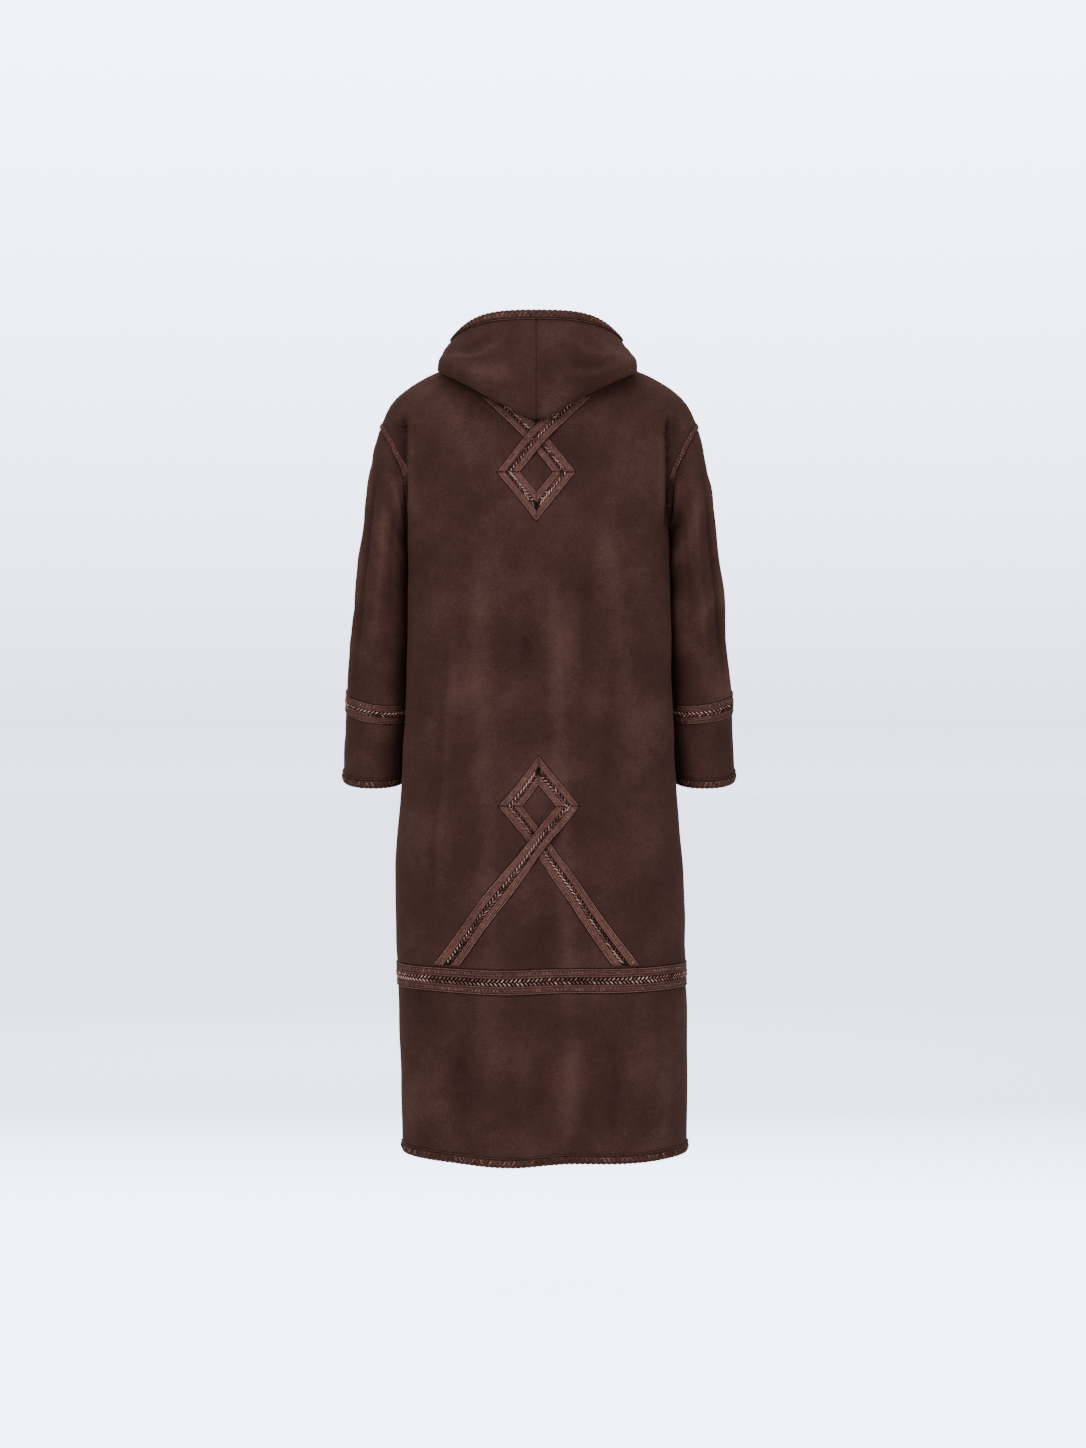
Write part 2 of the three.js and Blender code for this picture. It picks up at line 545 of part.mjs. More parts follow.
/** The levels of a body panel's rows: even in the skirt, closer beside the armhole and closest above it. */
function bodyLevels() {
  const skirtRows = Math.round((ARMHOLE.bottom - HEM_LEVEL) / SKIRT_STEP);
  const skirt = fractions(skirtRows).map((t) => mix(HEM_LEVEL, ARMHOLE.bottom, t));
  skirt.splice(-1, 0, CREASE.end);
  const besideSleeve = fractions(ARMHOLE_STEPS)
    .slice(1)
    .map((t) => armholeMiddle - armholeHalf * Math.cos(Math.PI * t));
  const shoulder = BODY_ROWS.map((row) => row.level).filter((level) => level > ARMHOLE.top);
  return [...skirt, ...besideSleeve, ...shoulder];
}

/** A body panel whose columns lie at the angles that angleAt gives for a share of its width and a level. */
function bodyPanel(columns, angleAt, turnsAt) {
  const outer = [];
  const inner = [];
  for (const level of bodyLevels()) {
    const places = fractions(columns).map((t) => bodyPlace(angleAt(t, level), level));
    outer.push(places.map(({ point }) => point));
    inner.push(places.map(({ point, normal }) => point.clone().addScaledVector(normal, -WALL)));
  }
  return wallSolid(outer, inner, { turnsAt });
}

/** Half of a seam's gap as an angle at a level. */
const seamAngle = (level) => inDegrees(SEAM / 2 / columnAt(BODY_ROWS, "level", "halfWidth", level));
const backAngle = (t, level) => {
  const side = Math.max(panelSide(level, true), seamAngle(level));
  return spreadAngle(t, side, 180 - side);
};
const frontAngle = (t, level) => {
  const side = Math.max(panelSide(level, false), seamAngle(level));
  const edge = inDegrees(FRONT_EDGE / columnAt(BODY_ROWS, "level", "front", level));
  return mix(-side, -90 + edge, t);
};

const turnsRound = Array.from({ length: 2 * ARMHOLE_STEPS }, (_, i) => (180 * i) / ARMHOLE_STEPS);

function sleeve() {
  const innerPoint = (turn, along) => {
    const start = Math.max(along, SLEEVE_UNDERCUT);
    return sleevePoint(turn, start).addScaledVector(sleeveNormal(turn, along), -WALL);
  };
  const outer = SLEEVE_RINGS.map((along) => turnsRound.map((turn) => sleevePoint(turn, along)));
  const inner = SLEEVE_RINGS.map((along) => turnsRound.map((turn) => innerPoint(turn, along)));
  return wallSolid(outer, inner, { round: true });
}

/** The angles of the hood's columns at a ring, from the centre front round to the centre back. */
function hoodAngles(along) {
  const at = (column) => columnAt(HOOD_ROWS, "along", column, along);
  const frontEnd = inDegrees(HOOD_FRONT_EDGE / (at("middleY") - at("frontY")));
  const backEnd = inDegrees(SEAM / 2 / (at("backY") - at("middleY")));
  const front = fractions(FRONT_COLUMNS).map((t) => mix(-90 + frontEnd, 0, t));
  const back = fractions(HOOD_BACK_COLUMNS).map((t) => mix(0, 90 - backEnd, t));
  return [...front, ...back.slice(1)];
}

function hoodPlace(degrees, along) {
  return { point: hoodPoint(degrees, along), normal: hoodNormal(degrees, along) };
}

function hoodHalf() {
  const outer = [];
  const inner = [];
  for (const along of HOOD_RINGS) {
    const places = hoodAngles(along).map((degrees) => hoodPlace(degrees, along));
    outer.push(places.map(({ point }) => point));
    inner.push(places.map(({ point, normal }) => point.clone().addScaledVector(normal, -WALL)));
  }
  return wallSolid(outer, inner);
}

/** The angles of every column of the body at a level, all the way round from one front edge to the other. */
function anglesRound(level) {
  const left = fractions(FRONT_COLUMNS).map((t) => frontAngle(1 - t, level));
  const back = fractions(BACK_COLUMNS).map((t) => backAngle(t, level));
  const right = fractions(FRONT_COLUMNS).map((t) => 180 - frontAngle(t, level));
  return [...left.slice(0, -1), ...back, ...right.slice(1)];
}

/** The skirt's strap, from the binding of one front edge round the back to the other. */
function skirtBand() {
  const { level, width } = SKIRT_BAND;
  const clear = FRONT_EDGE + BINDING_PROFILE[0].inward + SEAM;
  const end = 90 - inDegrees(clear / columnAt(BODY_ROWS, "level", "front", level));
  const last = end - 1; // the last column before an end is at least one degree away from it
  const between = anglesRound(level).filter((degrees) => degrees > -last && degrees < 180 + last);
  const place = (degrees, across) => bodyPlace(degrees, level + across);
  return strapSolid([-end, ...between, 180 + end], width, STRAP_PROFILE, place);
}

function hemBinding() {
  const levels = bodyLevels().slice(0, 2);
  const line = (i) => levels.map((level) => bodyPlace(anglesRound(level)[i], level));
  return bindingSolid(anglesRound(HEM_LEVEL).map((_, i) => line(i)));
}

/** The binding down the left front's edge, from just under the neckline to just over the hem's own binding. */
function frontBinding() {
  const between = bodyLevels().filter((level) => level > HEM_LEVEL && level < NECK_LEVEL);
  const columns = [1, 1 - 1 / FRONT_COLUMNS];
  const line = (level) => columns.map((t) => bodyPlace(frontAngle(t, level), level));
  return bindingSolid([HEM_LEVEL + FRONT_BINDING_END, ...between].map(line));
}

/** The binding round the hood's rim, in one piece from one side of the front to the other. */
function rimBinding() {
  const rings = HOOD_RINGS.slice(-RIM_RINGS).reverse();
  const line = (i, side) =>
    rings.map((along) => {
      const mirror = new THREE.Vector3(side, 1, 1);
      const { point, normal } = hoodPlace(hoodAngles(along)[i], along);
      return { point: point.multiply(mirror), normal: normal.multiply(mirror) };
    });
  const left = hoodAngles(1).map((_, i) => line(i, 1));
  const right = hoodAngles(1).map((_, i) => line(i, -1)).reverse();
  const atCentre = line(left.length - 1, 1).map(({ point, normal }) => ({ point: point.setX(0), normal }));
  return bindingSolid([...left.slice(0, -1), atCentre, ...right.slice(1)], RIM_BINDING);
}

function sleevePlace(turn, along) {
  return { point: sleevePoint(turn, along), normal: sleeveNormal(turn, along) };
}

/** How many millimetres a whole unit of along is on the lower sleeve, at a turn. */
function sleeveUnit(turn) {
  const from = 0.8;
  return sleevePoint(turn, 1).distanceTo(sleevePoint(turn, from)) / (1 - from);
}

function cuffBinding() {
  const rings = SLEEVE_RINGS.slice(-2).reverse();
  const lines = turnsRound.map((turn) => rings.map((along) => sleevePlace(turn, along)));
  return bindingSolid(lines, { round: true });
}

function sleeveBand() {
  const place = (turn, across) => sleevePlace(turn, SLEEVE_BAND.along + across / sleeveUnit(turn));
  return strapSolid(turnsRound, SLEEVE_BAND.width, STRAP_PROFILE, place, true);
}

function armholeTape() {
  const middle = (TAPE.near + TAPE.far) / 2;
  const place = (turn, across) => {
    const { degrees, level } = besideArmhole(turn, middle + across);
    return { ...bodyPlace(degrees, level), lift: TAPE.lift };
  };
  return strapSolid(turnsRound, TAPE.far - TAPE.near, TAPE_PROFILE, place, true);
}

/** The place on the back panel that lies straight behind a point of the motifs' plane. */
function placeOnBack(x, z) {
  const at = (column) => columnAt(BODY_ROWS, "level", column, z);
  const square = at("square");
  const y = at("back") * (1 - Math.abs(x / at("halfWidth")) ** square) ** (1 / square);
  return bodyPlace(inDegrees(Math.atan2(y, x)), z);
}

/** A strap along corners in the plane of the back. It starts level, ends upright, and climbs at a crossing. */
function motifStrap(corners, crossing) {
  const legs = corners.slice(1).map((corner, i) => corner.clone().sub(corners[i]));
  const legSides = legs.map((leg) => new THREE.Vector2(-leg.y, leg.x).normalize());
  const first = legSides[0];
  const last = legSides[legs.length - 1];
  const levelStart = new THREE.Vector2(first.x, -first.y);
  const uprightEnd = new THREE.Vector2(-last.x, last.y);
  const mitres = corners.map((_, i) => {
    const mitre = (legSides[i - 1] ?? levelStart).clone().add(legSides[i] ?? uprightEnd).normalize();
    return mitre.divideScalar(mitre.dot(legSides[i] ?? last));
  });
  const steps = [];
  legs.forEach((leg, i) => {
    const count = Math.max(2, Math.round(leg.length() / STRAP_STEP));
    for (let k = i > 0 ? 1 : 0; k <= count; k += 1) {
      const at = corners[i].clone().addScaledVector(leg, k / count);
      steps.push({ at, side: mitres[i].clone().lerp(mitres[i + 1], k / count) });
    }
  });
  return strapSolid(steps, STRAP_WIDTH, STRAP_PROFILE, ({ at, side }, across) => {
    const flat = at.clone().addScaledVector(side, across);
    const past = crossing ? (at.distanceTo(crossing) - CROSSING.reach) / CROSSING.ramp : 1;
    return { ...placeOnBack(flat.x, flat.y), lift: CROSSING.lift * (1 - smooth(past)) };
  });
}

/** A motif's two straps: each starts at its free end, crosses the other and bends round half of the diamond. */
function motif(shape) {
  const up = shape.opensUp ? 1 : -1;
  const crossing = new THREE.Vector2(shape.middleX, shape.middleZ + up * shape.halfHeight);
  const strap = (end, climbsAt) => {
    const side = Math.sign(end.x);
    const far = new THREE.Vector2(shape.middleX - side * shape.halfWidth, shape.middleZ);
    const tip = new THREE.Vector2(shape.middleX - (side * SEAM) / 2, shape.middleZ - up * shape.halfHeight);
    return motifStrap([new THREE.Vector2(end.x, end.z), crossing, far, tip], climbsAt);
  };
  return { over: strap(shape.overEnd, crossing), under: strap(shape.underEnd, null) };
}

/** The mirror image of a solid, for the robe's other side. */
function mirrored(geometry) {
  const position = geometry.getAttribute("position");
  const points = Array.from({ length: position.count }, (_, i) =>
    new THREE.Vector3().fromBufferAttribute(position, i).multiply(new THREE.Vector3(-1, 1, 1)),
  );
  return geometryOf(points, Array.from(geometry.index.array));
}

const robe = new THREE.Group();
function add(name, geometry, finish) {
  const mesh = new THREE.Mesh(geometry, new THREE.MeshStandardMaterial(finish));
  mesh.name = name;
  robe.add(mesh);
}
function addPair(name, geometry, finish) {
  add(`${name}_left`, geometry, finish);
  add(`${name}_right`, mirrored(geometry), finish);
}

add("back", bodyPanel(BACK_COLUMNS, backAngle, BACK_COLUMNS / 2), SUEDE);
const leftFront = bodyPanel(FRONT_COLUMNS, frontAngle);
const rightFront = bodyPanel(FRONT_COLUMNS, (t, level) => 180 - frontAngle(t, level));
add("front_left", leftFront, SUEDE);
add("front_right", rightFront, SUEDE);
addPair("sleeve", sleeve(), SUEDE);
addPair("hood", hoodHalf(), SUEDE);
add("skirt_band", skirtBand(), BRAID);
add("hem_binding", hemBinding(), BRAID);
add("hood_rim_binding", rimBinding(), BRAID);
addPair("front_binding", frontBinding(), BRAID);
addPair("cuff_binding", cuffBinding(), BRAID);
addPair("sleeve_band", sleeveBand(), BRAID);
addPair("armhole_tape", armholeTape(), BRAID);
const upperMotif = motif(UPPER_MOTIF);
add("upper_motif_over", upperMotif.over, BRAID);
add("upper_motif_under", upperMotif.under, BRAID);
const lowerMotif = motif(LOWER_MOTIF);
add("lower_motif_over", lowerMotif.over, BRAID);
add("lower_motif_under", lowerMotif.under, BRAID);

export default robe;
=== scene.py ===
import math

import bpy
import mathutils
import numpy as np
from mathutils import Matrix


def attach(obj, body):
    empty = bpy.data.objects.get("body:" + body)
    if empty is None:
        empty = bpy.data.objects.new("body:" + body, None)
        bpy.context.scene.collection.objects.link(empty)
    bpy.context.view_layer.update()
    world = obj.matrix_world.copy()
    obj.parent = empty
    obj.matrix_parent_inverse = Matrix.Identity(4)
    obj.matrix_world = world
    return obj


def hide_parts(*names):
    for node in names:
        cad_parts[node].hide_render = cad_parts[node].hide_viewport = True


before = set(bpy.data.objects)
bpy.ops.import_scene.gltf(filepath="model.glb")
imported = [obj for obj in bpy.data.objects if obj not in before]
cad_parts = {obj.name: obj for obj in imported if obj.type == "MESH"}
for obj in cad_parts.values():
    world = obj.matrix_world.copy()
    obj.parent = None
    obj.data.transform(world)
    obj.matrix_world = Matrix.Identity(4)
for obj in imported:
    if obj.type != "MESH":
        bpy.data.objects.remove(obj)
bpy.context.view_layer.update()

# A long hooded suede robe, fur inside, seen from behind. Sizes are in millimetres until a mesh is made.
# +Z is up, the front faces -Y and the robe's own left is +X.
MM = 0.001
WALL = 6.0
HEM, NECK = -1306.0, 0.0
FRONT_EDGE = 3.4  # from the front's middle to a panel's edge
SEAM, SEAM_DIP = 0.1, 1.1  # between panels that meet, and how deep an edge sinks into its seam
SWAY, SWAY_TOP, SWAY_SPAN = 9, -800, 450  # how far the hem hangs aside, and from where
CREASE_X, CREASE_DEEP = 213, 15  # the body's crease beside the armhole
LIFT_TOP = -900  # from here down the levels follow the hem's line
HOOD_ASIDE, HOOD_SEAM = 4, 90.0  # how far the hood lies to the left, and its middle seam's angle
FOLD_LIGHT_MM = 8  # a fold this high is painted a whole tone lighter, as painted light on its ridge
LEG_WIDER, OVER_RISE = 0.17, 4.4  # a motif's legs at their ends, and its upper strap at the crossing


def rows_of(text):
    """Lines of numbers as lists."""
    return [[float(number) for number in line.split()] for line in text.strip().split("\n")]


def table(columns, text):
    """Named columns over a first column of keys, with slopes that never overshoot the rows."""
    data = np.array(rows_of(text))
    key, values = data[:, 0], data[:, 1:]
    slope = np.diff(values, axis=0) / np.diff(key)[:, None]
    before, after = slope[:-1], slope[1:]
    same = before * after > 0
    middle = np.where(same, 2 * before * after / np.where(same, before + after, 1), 0)
    return columns.split(), key, values, np.vstack([slope[:1], middle, slope[-1:]])


def look_up(source, where):
    """Each column at a key: the cubic through the rows on both sides, with their slopes."""
    names, key, values, slopes = source
    at = np.clip(where, key[0], key[-1])
    i = np.clip(np.searchsorted(key, at, side="right") - 1, 0, len(key) - 2)
    span = (key[i + 1] - key[i])[..., None]
    t = (at - key[i])[..., None] / span
    blend = (3 - 2 * t) * t * t
    found = (1 - blend) * values[i] + blend * values[i + 1]
    found += span * t * (1 - t) * ((1 - t) * slopes[i] - t * slopes[i + 1])
    return dict(zip(names, np.moveaxis(found, -1, 0)))


BODY = table("half back front square pinch drop", """
-1306 232 147 144 2.45 0 0
-1150 234 146 142 2.45 0 0
-1000 235 145 140 2.45 0 0
-850 236 144 139 2.45 0.005 0
-720 234 143 138 2.45 0.09 0
-600 230 142 137 2.45 0.13 0
-450 226 142 134 2.45 0.14 0
-300 224 143 129 2.45 0.13 0
-212 246 140 121 2.35 0.05 0
-165 262 135 115 2.25 0.01 2
-130 260 128 110 2.15 0 8
-114 254 124 108 2.05 0 12
-98 247 119 106 1.97 0 18
-82 236 113 104 1.9 0 24
-65 216 104 101 1.86 0 31
-49 190 96 98 1.85 0 37
-36 163 89 96 1.85 0 42
-22 131 82 93 1.9 0 47
-12 105 76 89 1.95 0 51
-5 84 70 83 2 0 54
0 78 68 80 2 0 55
""")
# Broad folds: angle round from the left, spread in degrees, height, the levels where each begins and is full.
BROAD_FOLDS = rows_of("""
103 11 3.5 -430 -720
84 12 -4 -420 -700
62 12 3.5 -260 -560
124 12 -4 -620 -1150
142 12 3.5 -560 -900
40 12 -4 -760 -1150
286 12 -4 -360 -820
252 12 -4 -330 -760
308 12 4 -520 -1050
231 12 4 -560 -1000
""")
ARM_TOP, ARM_BOTTOM, ARM_ANGLE, ARM_ROUND, ARM_RADIUS = -130.0, -300.0, 18.5, 1.2, 235.0
ARM_MIDDLE, ARM_HALF = (ARM_TOP + ARM_BOTTOM) / 2, (ARM_TOP - ARM_BOTTOM) / 2
SLEEVE = table("out_x out_z in_x in_z middle deep lean leave", """
0 260 -130 198.4 -300 0 62 0 0
0.06 268 -160 204 -302 0 65 0 0.2
0.14 275.5 -197 208 -313 0 68 0.02 0.5
0.24 282.5 -242 210 -336 -1 72 0.05 0.8
0.36 290.5 -305 211 -376 -4 75 0.09 1
0.5 299.5 -382 211 -432 -10 76 0.13 1
0.64 307.5 -468 212 -500 -19 76 0.19 1
0.78 314 -550 214 -566 -30 75 0.22 1
0.9 319 -631 217 -637 -40 74 0.21 1
1 322 -699 220 -700 -48 73 0.19 1
""")
SLEEVE_FOLDS = rows_of("""
32 9 3.5 0.03 0.2 0.72 0.98
49 10 -3 0.03 0.2 0.6 0.95
""")
HOOD = table("half middle back front side_z back_z front_z", """
0 78 0 68 -80 0 0 -55
0.08 83 3 72 -83 15 16 -50
0.18 94 9 83 -86 21 25 -47.5
0.28 108 20 96 -89 9 13 -46.5
0.4 126 38 112 -91.5 -22 -36 -46.5
0.52 145 57 131 -95 -42 -98 -46.5
0.58 152 62 143 -99.5 -47 -127 -46.5
0.63 161 66 156 -107 -40 -123 -45.5
0.7 159 64 163 -113 -27 -102 -43
0.85 149 54 159 -120 -8 -32 -37
1 137 40 143 -124 12 47 -29
""")
HOOD_LIES = table("bend front_bend clear", """
0 3 1.6 1
0.18 3 1.6 5
0.4 1.7 1.7 3
0.58 1.15 2 3
0.63 1.15 2.2 9
0.7 1.2 2.4 19
0.85 2.2 2.7 33
1 4 3 43
""")


def smooth(t):
    t = np.clip(t, 0, 1)
    return t * t * (3 - 2 * t)


def bell(t):
    return np.exp(-t * t)


def together(*values):
    """Arrays of one shape."""
    return np.broadcast_arrays(*(np.asarray(value, float) for value in values))


def turned_sides(degrees):
    return np.cos(np.radians(degrees)), np.sin(np.radians(degrees))


def oval_radius(c, s, half, depth, square):
    """From the middle of a superellipse to its edge, where c and s give the direction."""
    return (np.abs(c / half) ** square + np.abs(s / depth) ** square) ** (-1 / square)


def body_form(degrees, level):
    """Superellipse sections pinched at the sides, with broad folds and a crease by the armhole.

    Low down the levels lift and drop with the hem's line, and the skirt hangs a little to the robe's right.
    """
    degrees, level = together(degrees, level)
    c, s = turned_sides(degrees)
    row = look_up(BODY, level)
    depth = np.where(s >= 0, row["back"], row["front"])
    round_from_left = np.mod(degrees, 360)
    r = oval_radius(c, s, row["half"], depth, row["square"])
    for angle, width, out, top, full in BROAD_FOLDS:
        r = r + out * smooth((top - level) / (top - full)) * bell((round_from_left - angle) / width)
    y = r * s
    x = r * c * (1 - row["pinch"] * bell((y + 20) / 55))
    sway = SWAY * smooth((SWAY_TOP - level) / SWAY_SPAN)
    past = np.abs(x) - CREASE_X
    crease = np.sign(y) * CREASE_DEEP * smooth((-92 - level) / 113) * smooth((level + 330) / 125)
    crease *= smooth(past / 10) * bell(np.maximum(0, past - 10) / 34) * smooth(np.abs(y) / 45)
    crease *= np.where(s >= 0, 1, 0.5)
    low = np.clip((LIFT_TOP - level) / (LIFT_TOP - HEM), 0, 1)
    lift = 8 * bell((round_from_left - 104) / 22) + 6 * c**4 - 9 * np.maximum(0, s) ** 2
    lift = lift * low * (2 - low)
    z = level - row["drop"] * np.maximum(0, -s) ** 1.5 + lift
    return np.stack([x - sway, y - crease, z], -1)


def beside_armhole(turn, distance):
    """Angle and level of a point at a distance outside the left armhole's edge."""
    c, s = turned_sides(turn)
    angle = np.sign(s) * ARM_ANGLE * np.abs(s) ** ARM_ROUND
    return angle + np.degrees(distance / ARM_RADIUS) * s, ARM_MIDDLE + (ARM_HALF + distance) * c


def side_angle(level):
    """The angle of a panel's side edge: nought at the side seam, and the armhole's edge beside the sleeve."""
    c = np.clip((level - ARM_MIDDLE) / ARM_HALF, -1, 1)
    return ARM_ANGLE * np.sqrt(1 - c * c) ** ARM_ROUND


def normals_of(surface, u, v, du, dv, out=1):
    """Unit normals from the differences of a surface on both sides of each point."""
    along_u = surface(u + du, v) - surface(u - du, v)
    along_v = surface(u, v + dv) - surface(u, v - dv)
    n = np.cross(along_u, along_v) * out
    return n / np.linalg.norm(n, axis=-1, keepdims=True)


def relief(u, v, folds):
    """Soft folds: each is its height times a bell of the distance from its line, and fades at its ends."""
    u, v = together(u, v)
    total = np.zeros(u.shape)
    for height, width, fade_in, fade_out, *points in folds:
        points = np.reshape(points, (-1, 2))
        low, high = points.min(0) - 3 * width, points.max(0) + 3 * width
        near = (u > low[0]) & (u < high[0]) & (v > low[1]) & (v < high[1])
        x, y = u[near], v[near]
        run, nearest, along = 0.0, np.full(x.shape, 1e9), np.zeros(x.shape)
        for start, step in zip(points[:-1], np.diff(points, axis=0)):
            length = np.hypot(*step)
            t = np.clip(((x - start[0]) * step[0] + (y - start[1]) * step[1]) / length**2, 0, 1)
            d = np.hypot(x - start[0] - t * step[0], y - start[1] - t * step[1])
            closer = d < nearest
            nearest = np.where(closer, d, nearest)
            along = np.where(closer, run + t * length, along)
            run += length
        ends = smooth(along / fade_in) * smooth((run - along) / fade_out)
        total[near] += height * bell(nearest / width) * ends
    return total


def unevenness(u, v, seed, height, shortest):
    """Waves in random directions, longer ones higher, since cloth is never quite even."""
    rng = np.random.default_rng(seed)
    total = np.zeros(np.broadcast(u, v).shape)
    for _ in range(14):
        length = shortest * (1 + 3.2 * rng.random())
        turn, phase = rng.random(2) * 2 * math.pi
        k = 2 * math.pi / length
        total += length * np.sin(k * (u * math.cos(turn) + v * math.sin(turn)) + phase)
    return total * height / (shortest * 14**0.5 * 2)


# Smaller folds: height, width, fade at the start, fade at the end, then points: x and z on the body, and how
# far round and how far down on a sleeve or the hood.
# Every fold and crease here is painted too: lighter on its ridge and darker in its trough, so the deep narrow
# troughs beside the armholes paint dark lines of shade.
BACK_FOLDS = rows_of("""
1.9 15 120 160 -25 -318 -30 -560 -42 -860 -54 -1215
-2.2 13 60 90 21 -372 18 -470 22 -565
-2 13 70 110 -74 -322 -76 -430 -70 -590
1.8 16 70 220 -92 -258 -118 -380 -146 -545 -150 -760
-1.6 15 90 140 -118 -470 -112 -620 -104 -800
1.3 7 60 160 134 -440 149 -640 170 -985
-1.5 9 60 160 143 -470 158 -680 178 -960
1.5 18 90 160 92 -330 96 -520 84 -760 70 -1090
-1.9 15 60 70 4 -1098 2 -1180 12 -1262
1.8 16 60 60 -49 -1090 -53 -1190 -46 -1290
1.4 18 60 60 72 -1085 70 -1180 80 -1285
-1.7 14 60 50 118 -1080 128 -1180 120 -1290
-1.5 13 60 50 -108 -1085 -122 -1190 -114 -1290
1.5 10 40 20 202 -1180 205 -1240 198 -1300
1.4 12 40 20 -196 -1150 -202 -1230 -196 -1300
1.8 7 30 60 206 -130 206 -215 206 -300
-6.5 3.2 22 40 224 -106 219 -124 217 -150 216 -310
-3.2 8 26 50 230 -112 225 -134 222 -160 220 -310
2.2 4.5 14 20 222 -95 227 -114 229 -136
-1.7 4 14 20 226 -96 232 -120 236 -146
2.1 4.5 14 20 231 -98 237 -124 241 -152
1.8 7 30 60 -198 -134 -197 -225 -198 -300
-6.5 3.2 22 40 -212 -106 -209 -122 -208 -150 -208 -310
-3 8 26 50 -219 -112 -215 -134 -213 -160 -212 -310
2.2 4.5 14 20 -209 -95 -213 -110 -216 -128
-1.6 4 14 20 -216 -96 -222 -116 -225 -140
2.2 4.5 14 20 -222 -100 -231 -122 -241 -152
1 14 60 90 150 -70 120 -150 96 -260
-0.9 12 60 90 -128 -72 -110 -170 -100 -270
0.9 8 40 60 196 -352 150 -372 92 -366
-1 9 40 60 -196 -420 -158 -446 -104 -452
0.9 9 40 70 190 -640 160 -664 118 -668
-0.9 8 40 60 -190 -700 -166 -716 -132 -716
""")
FRONT_FOLDS = rows_of("""
1.9 16 120 160 58 -330 62 -620 74 -1000 70 -1290
-2 15 90 120 98 -360 102 -600 110 -860
1.6 14 90 160 140 -420 150 -700 160 -980
-1.6 14 80 60 36 -620 40 -900 34 -1290
1.4 9 40 60 196 -380 150 -402 96 -398
1.7 15 110 160 -66 -300 -72 -600 -62 -980 -76 -1290
-1.9 14 90 120 -112 -400 -104 -640 -98 -900
1.5 14 90 160 -150 -380 -158 -720 -164 -1020
-1.5 13 80 60 -34 -700 -38 -1000 -44 -1290
-1.3 9 40 60 -196 -470 -154 -488 -100 -480
1.3 14 60 90 140 -76 118 -160 90 -280
1.3 14 60 90 -150 -72 -124 -150 -96 -290
""")
SLEEVE_CREASES = rows_of("""
2.4 5 60 120 40 40 50 200 40 420 52 540
-2.2 6 60 120 54 60 64 240 56 460
1.6 9 50 100 96 70 112 210 104 400
-1.5 9 50 80 140 60 136 180 150 330
1.5 10 50 90 -50 70 -62 220 -54 430
-1.6 9 50 90 -84 50 -92 200 -84 380
1.4 9 40 60 60 330 104 350 150 338
-1.3 8 40 60 70 372 112 392 156 378
1.3 9 40 60 -60 300 -110 322 -160 306
1.4 9 40 60 20 470 70 486 122 476
-1.1 9 40 60 -30 440 -76 462 -130 452
1.2 10 40 60 -150 90 -170 200 -164 330
""")
HOOD_CREASES = rows_of("""
2.2 5 30 50 36 342 90 366 146 400
-2 8 30 50 46 362 90 388 134 412
1.3 13 40 60 60 300 100 330 150 350
-1.4 11 40 50 90 290 130 312 172 322
1.3 10 40 50 20 320 56 360 96 392
-1.2 10 40 50 120 356 158 372 186 366
1.2 9 30 40 -40 330 -6 360 22 400
-1.1 9 30 40 -90 340 -50 362 -16 380
1.1 8 30 40 150 210 110 230 70 226
""")
SLEEVE_CREASES_RIGHT = rows_of("""
2.4 5 60 120 36 50 48 220 44 430 56 545
-2.2 6 60 120 50 40 61 230 56 470
1.5 9 50 100 92 90 108 240 98 420
-1.5 9 50 80 136 80 140 210 132 350
1.5 10 50 90 -46 80 -58 240 -48 440
-1.5 9 50 90 -88 60 -98 190 -90 360
1.4 9 40 60 56 300 100 318 146 300
-1.3 8 40 60 64 346 106 362 150 352
1.3 9 40 60 -56 330 -104 350 -158 340
1.3 9 40 60 24 486 72 496 120 492
-1.2 9 40 60 -26 420 -72 436 -126 430
1.2 10 40 50 -156 100 -166 220 -158 340
""")
HOOD_CREASES_RIGHT = rows_of("""
1.9 6 30 50 40 350 96 374 140 396
-1.6 8 30 50 60 330 110 350 156 372
1.3 13 40 60 56 310 98 322 146 360
-1.4 11 40 50 84 300 126 322 168 312
1.4 10 40 50 26 330 60 372 104 400
-1.2 10 40 50 116 366 152 384 184 388
1.2 9 30 40 -44 336 -10 352 26 392
-1.1 9 30 40 -84 350 -46 370 -12 376
1.1 8 30 40 146 204 112 222 74 234
""")
ROUND_MM, HOOD_ROUND_MM, SLEEVE_MM, HOOD_MM = 1.3, 2.2, 600.0, 430.0


def body_surface(degrees, level):
    """The body's form moved out along its normal by the smaller folds, which fade towards the edges."""
    base = body_form(degrees, level)
    x, z = base[..., 0], base[..., 2]
    behind = np.sin(np.radians(degrees)) >= 0
    out = np.where(behind, relief(x, z, BACK_FOLDS), relief(x, z, FRONT_FOLDS))
    out = out + np.where(behind, unevenness(x, z, 11, 0.8, 46), unevenness(x, z, 23, 0.8, 46))
    from_side = np.minimum(np.abs(np.mod(degrees + 180, 360) - 180), np.abs(np.mod(degrees, 360) - 180))
    free = smooth((from_side - side_angle(level)) / 4) * smooth((-level + 4) / 45)
    n = normals_of(body_form, degrees, level, 0.4, 1.0)
    return base + n * (out * free)[..., None]


def sleeve_ring(turn, along):
    c, s = turned_sides(turn)
    row = look_up(SLEEVE, along)
    r = oval_radius(c, s, 1, 1, 2.15)
    y = row["deep"] * r * s
    x = (row["out_x"] + row["in_x"]) / 2 + (row["out_x"] - row["in_x"]) / 2 * r * c
    z = (row["out_z"] + row["in_z"]) / 2 + (row["out_z"] - row["in_z"]) / 2 * r * c - row["lean"] * y
    return np.stack([x, row["middle"] + y, z], -1)


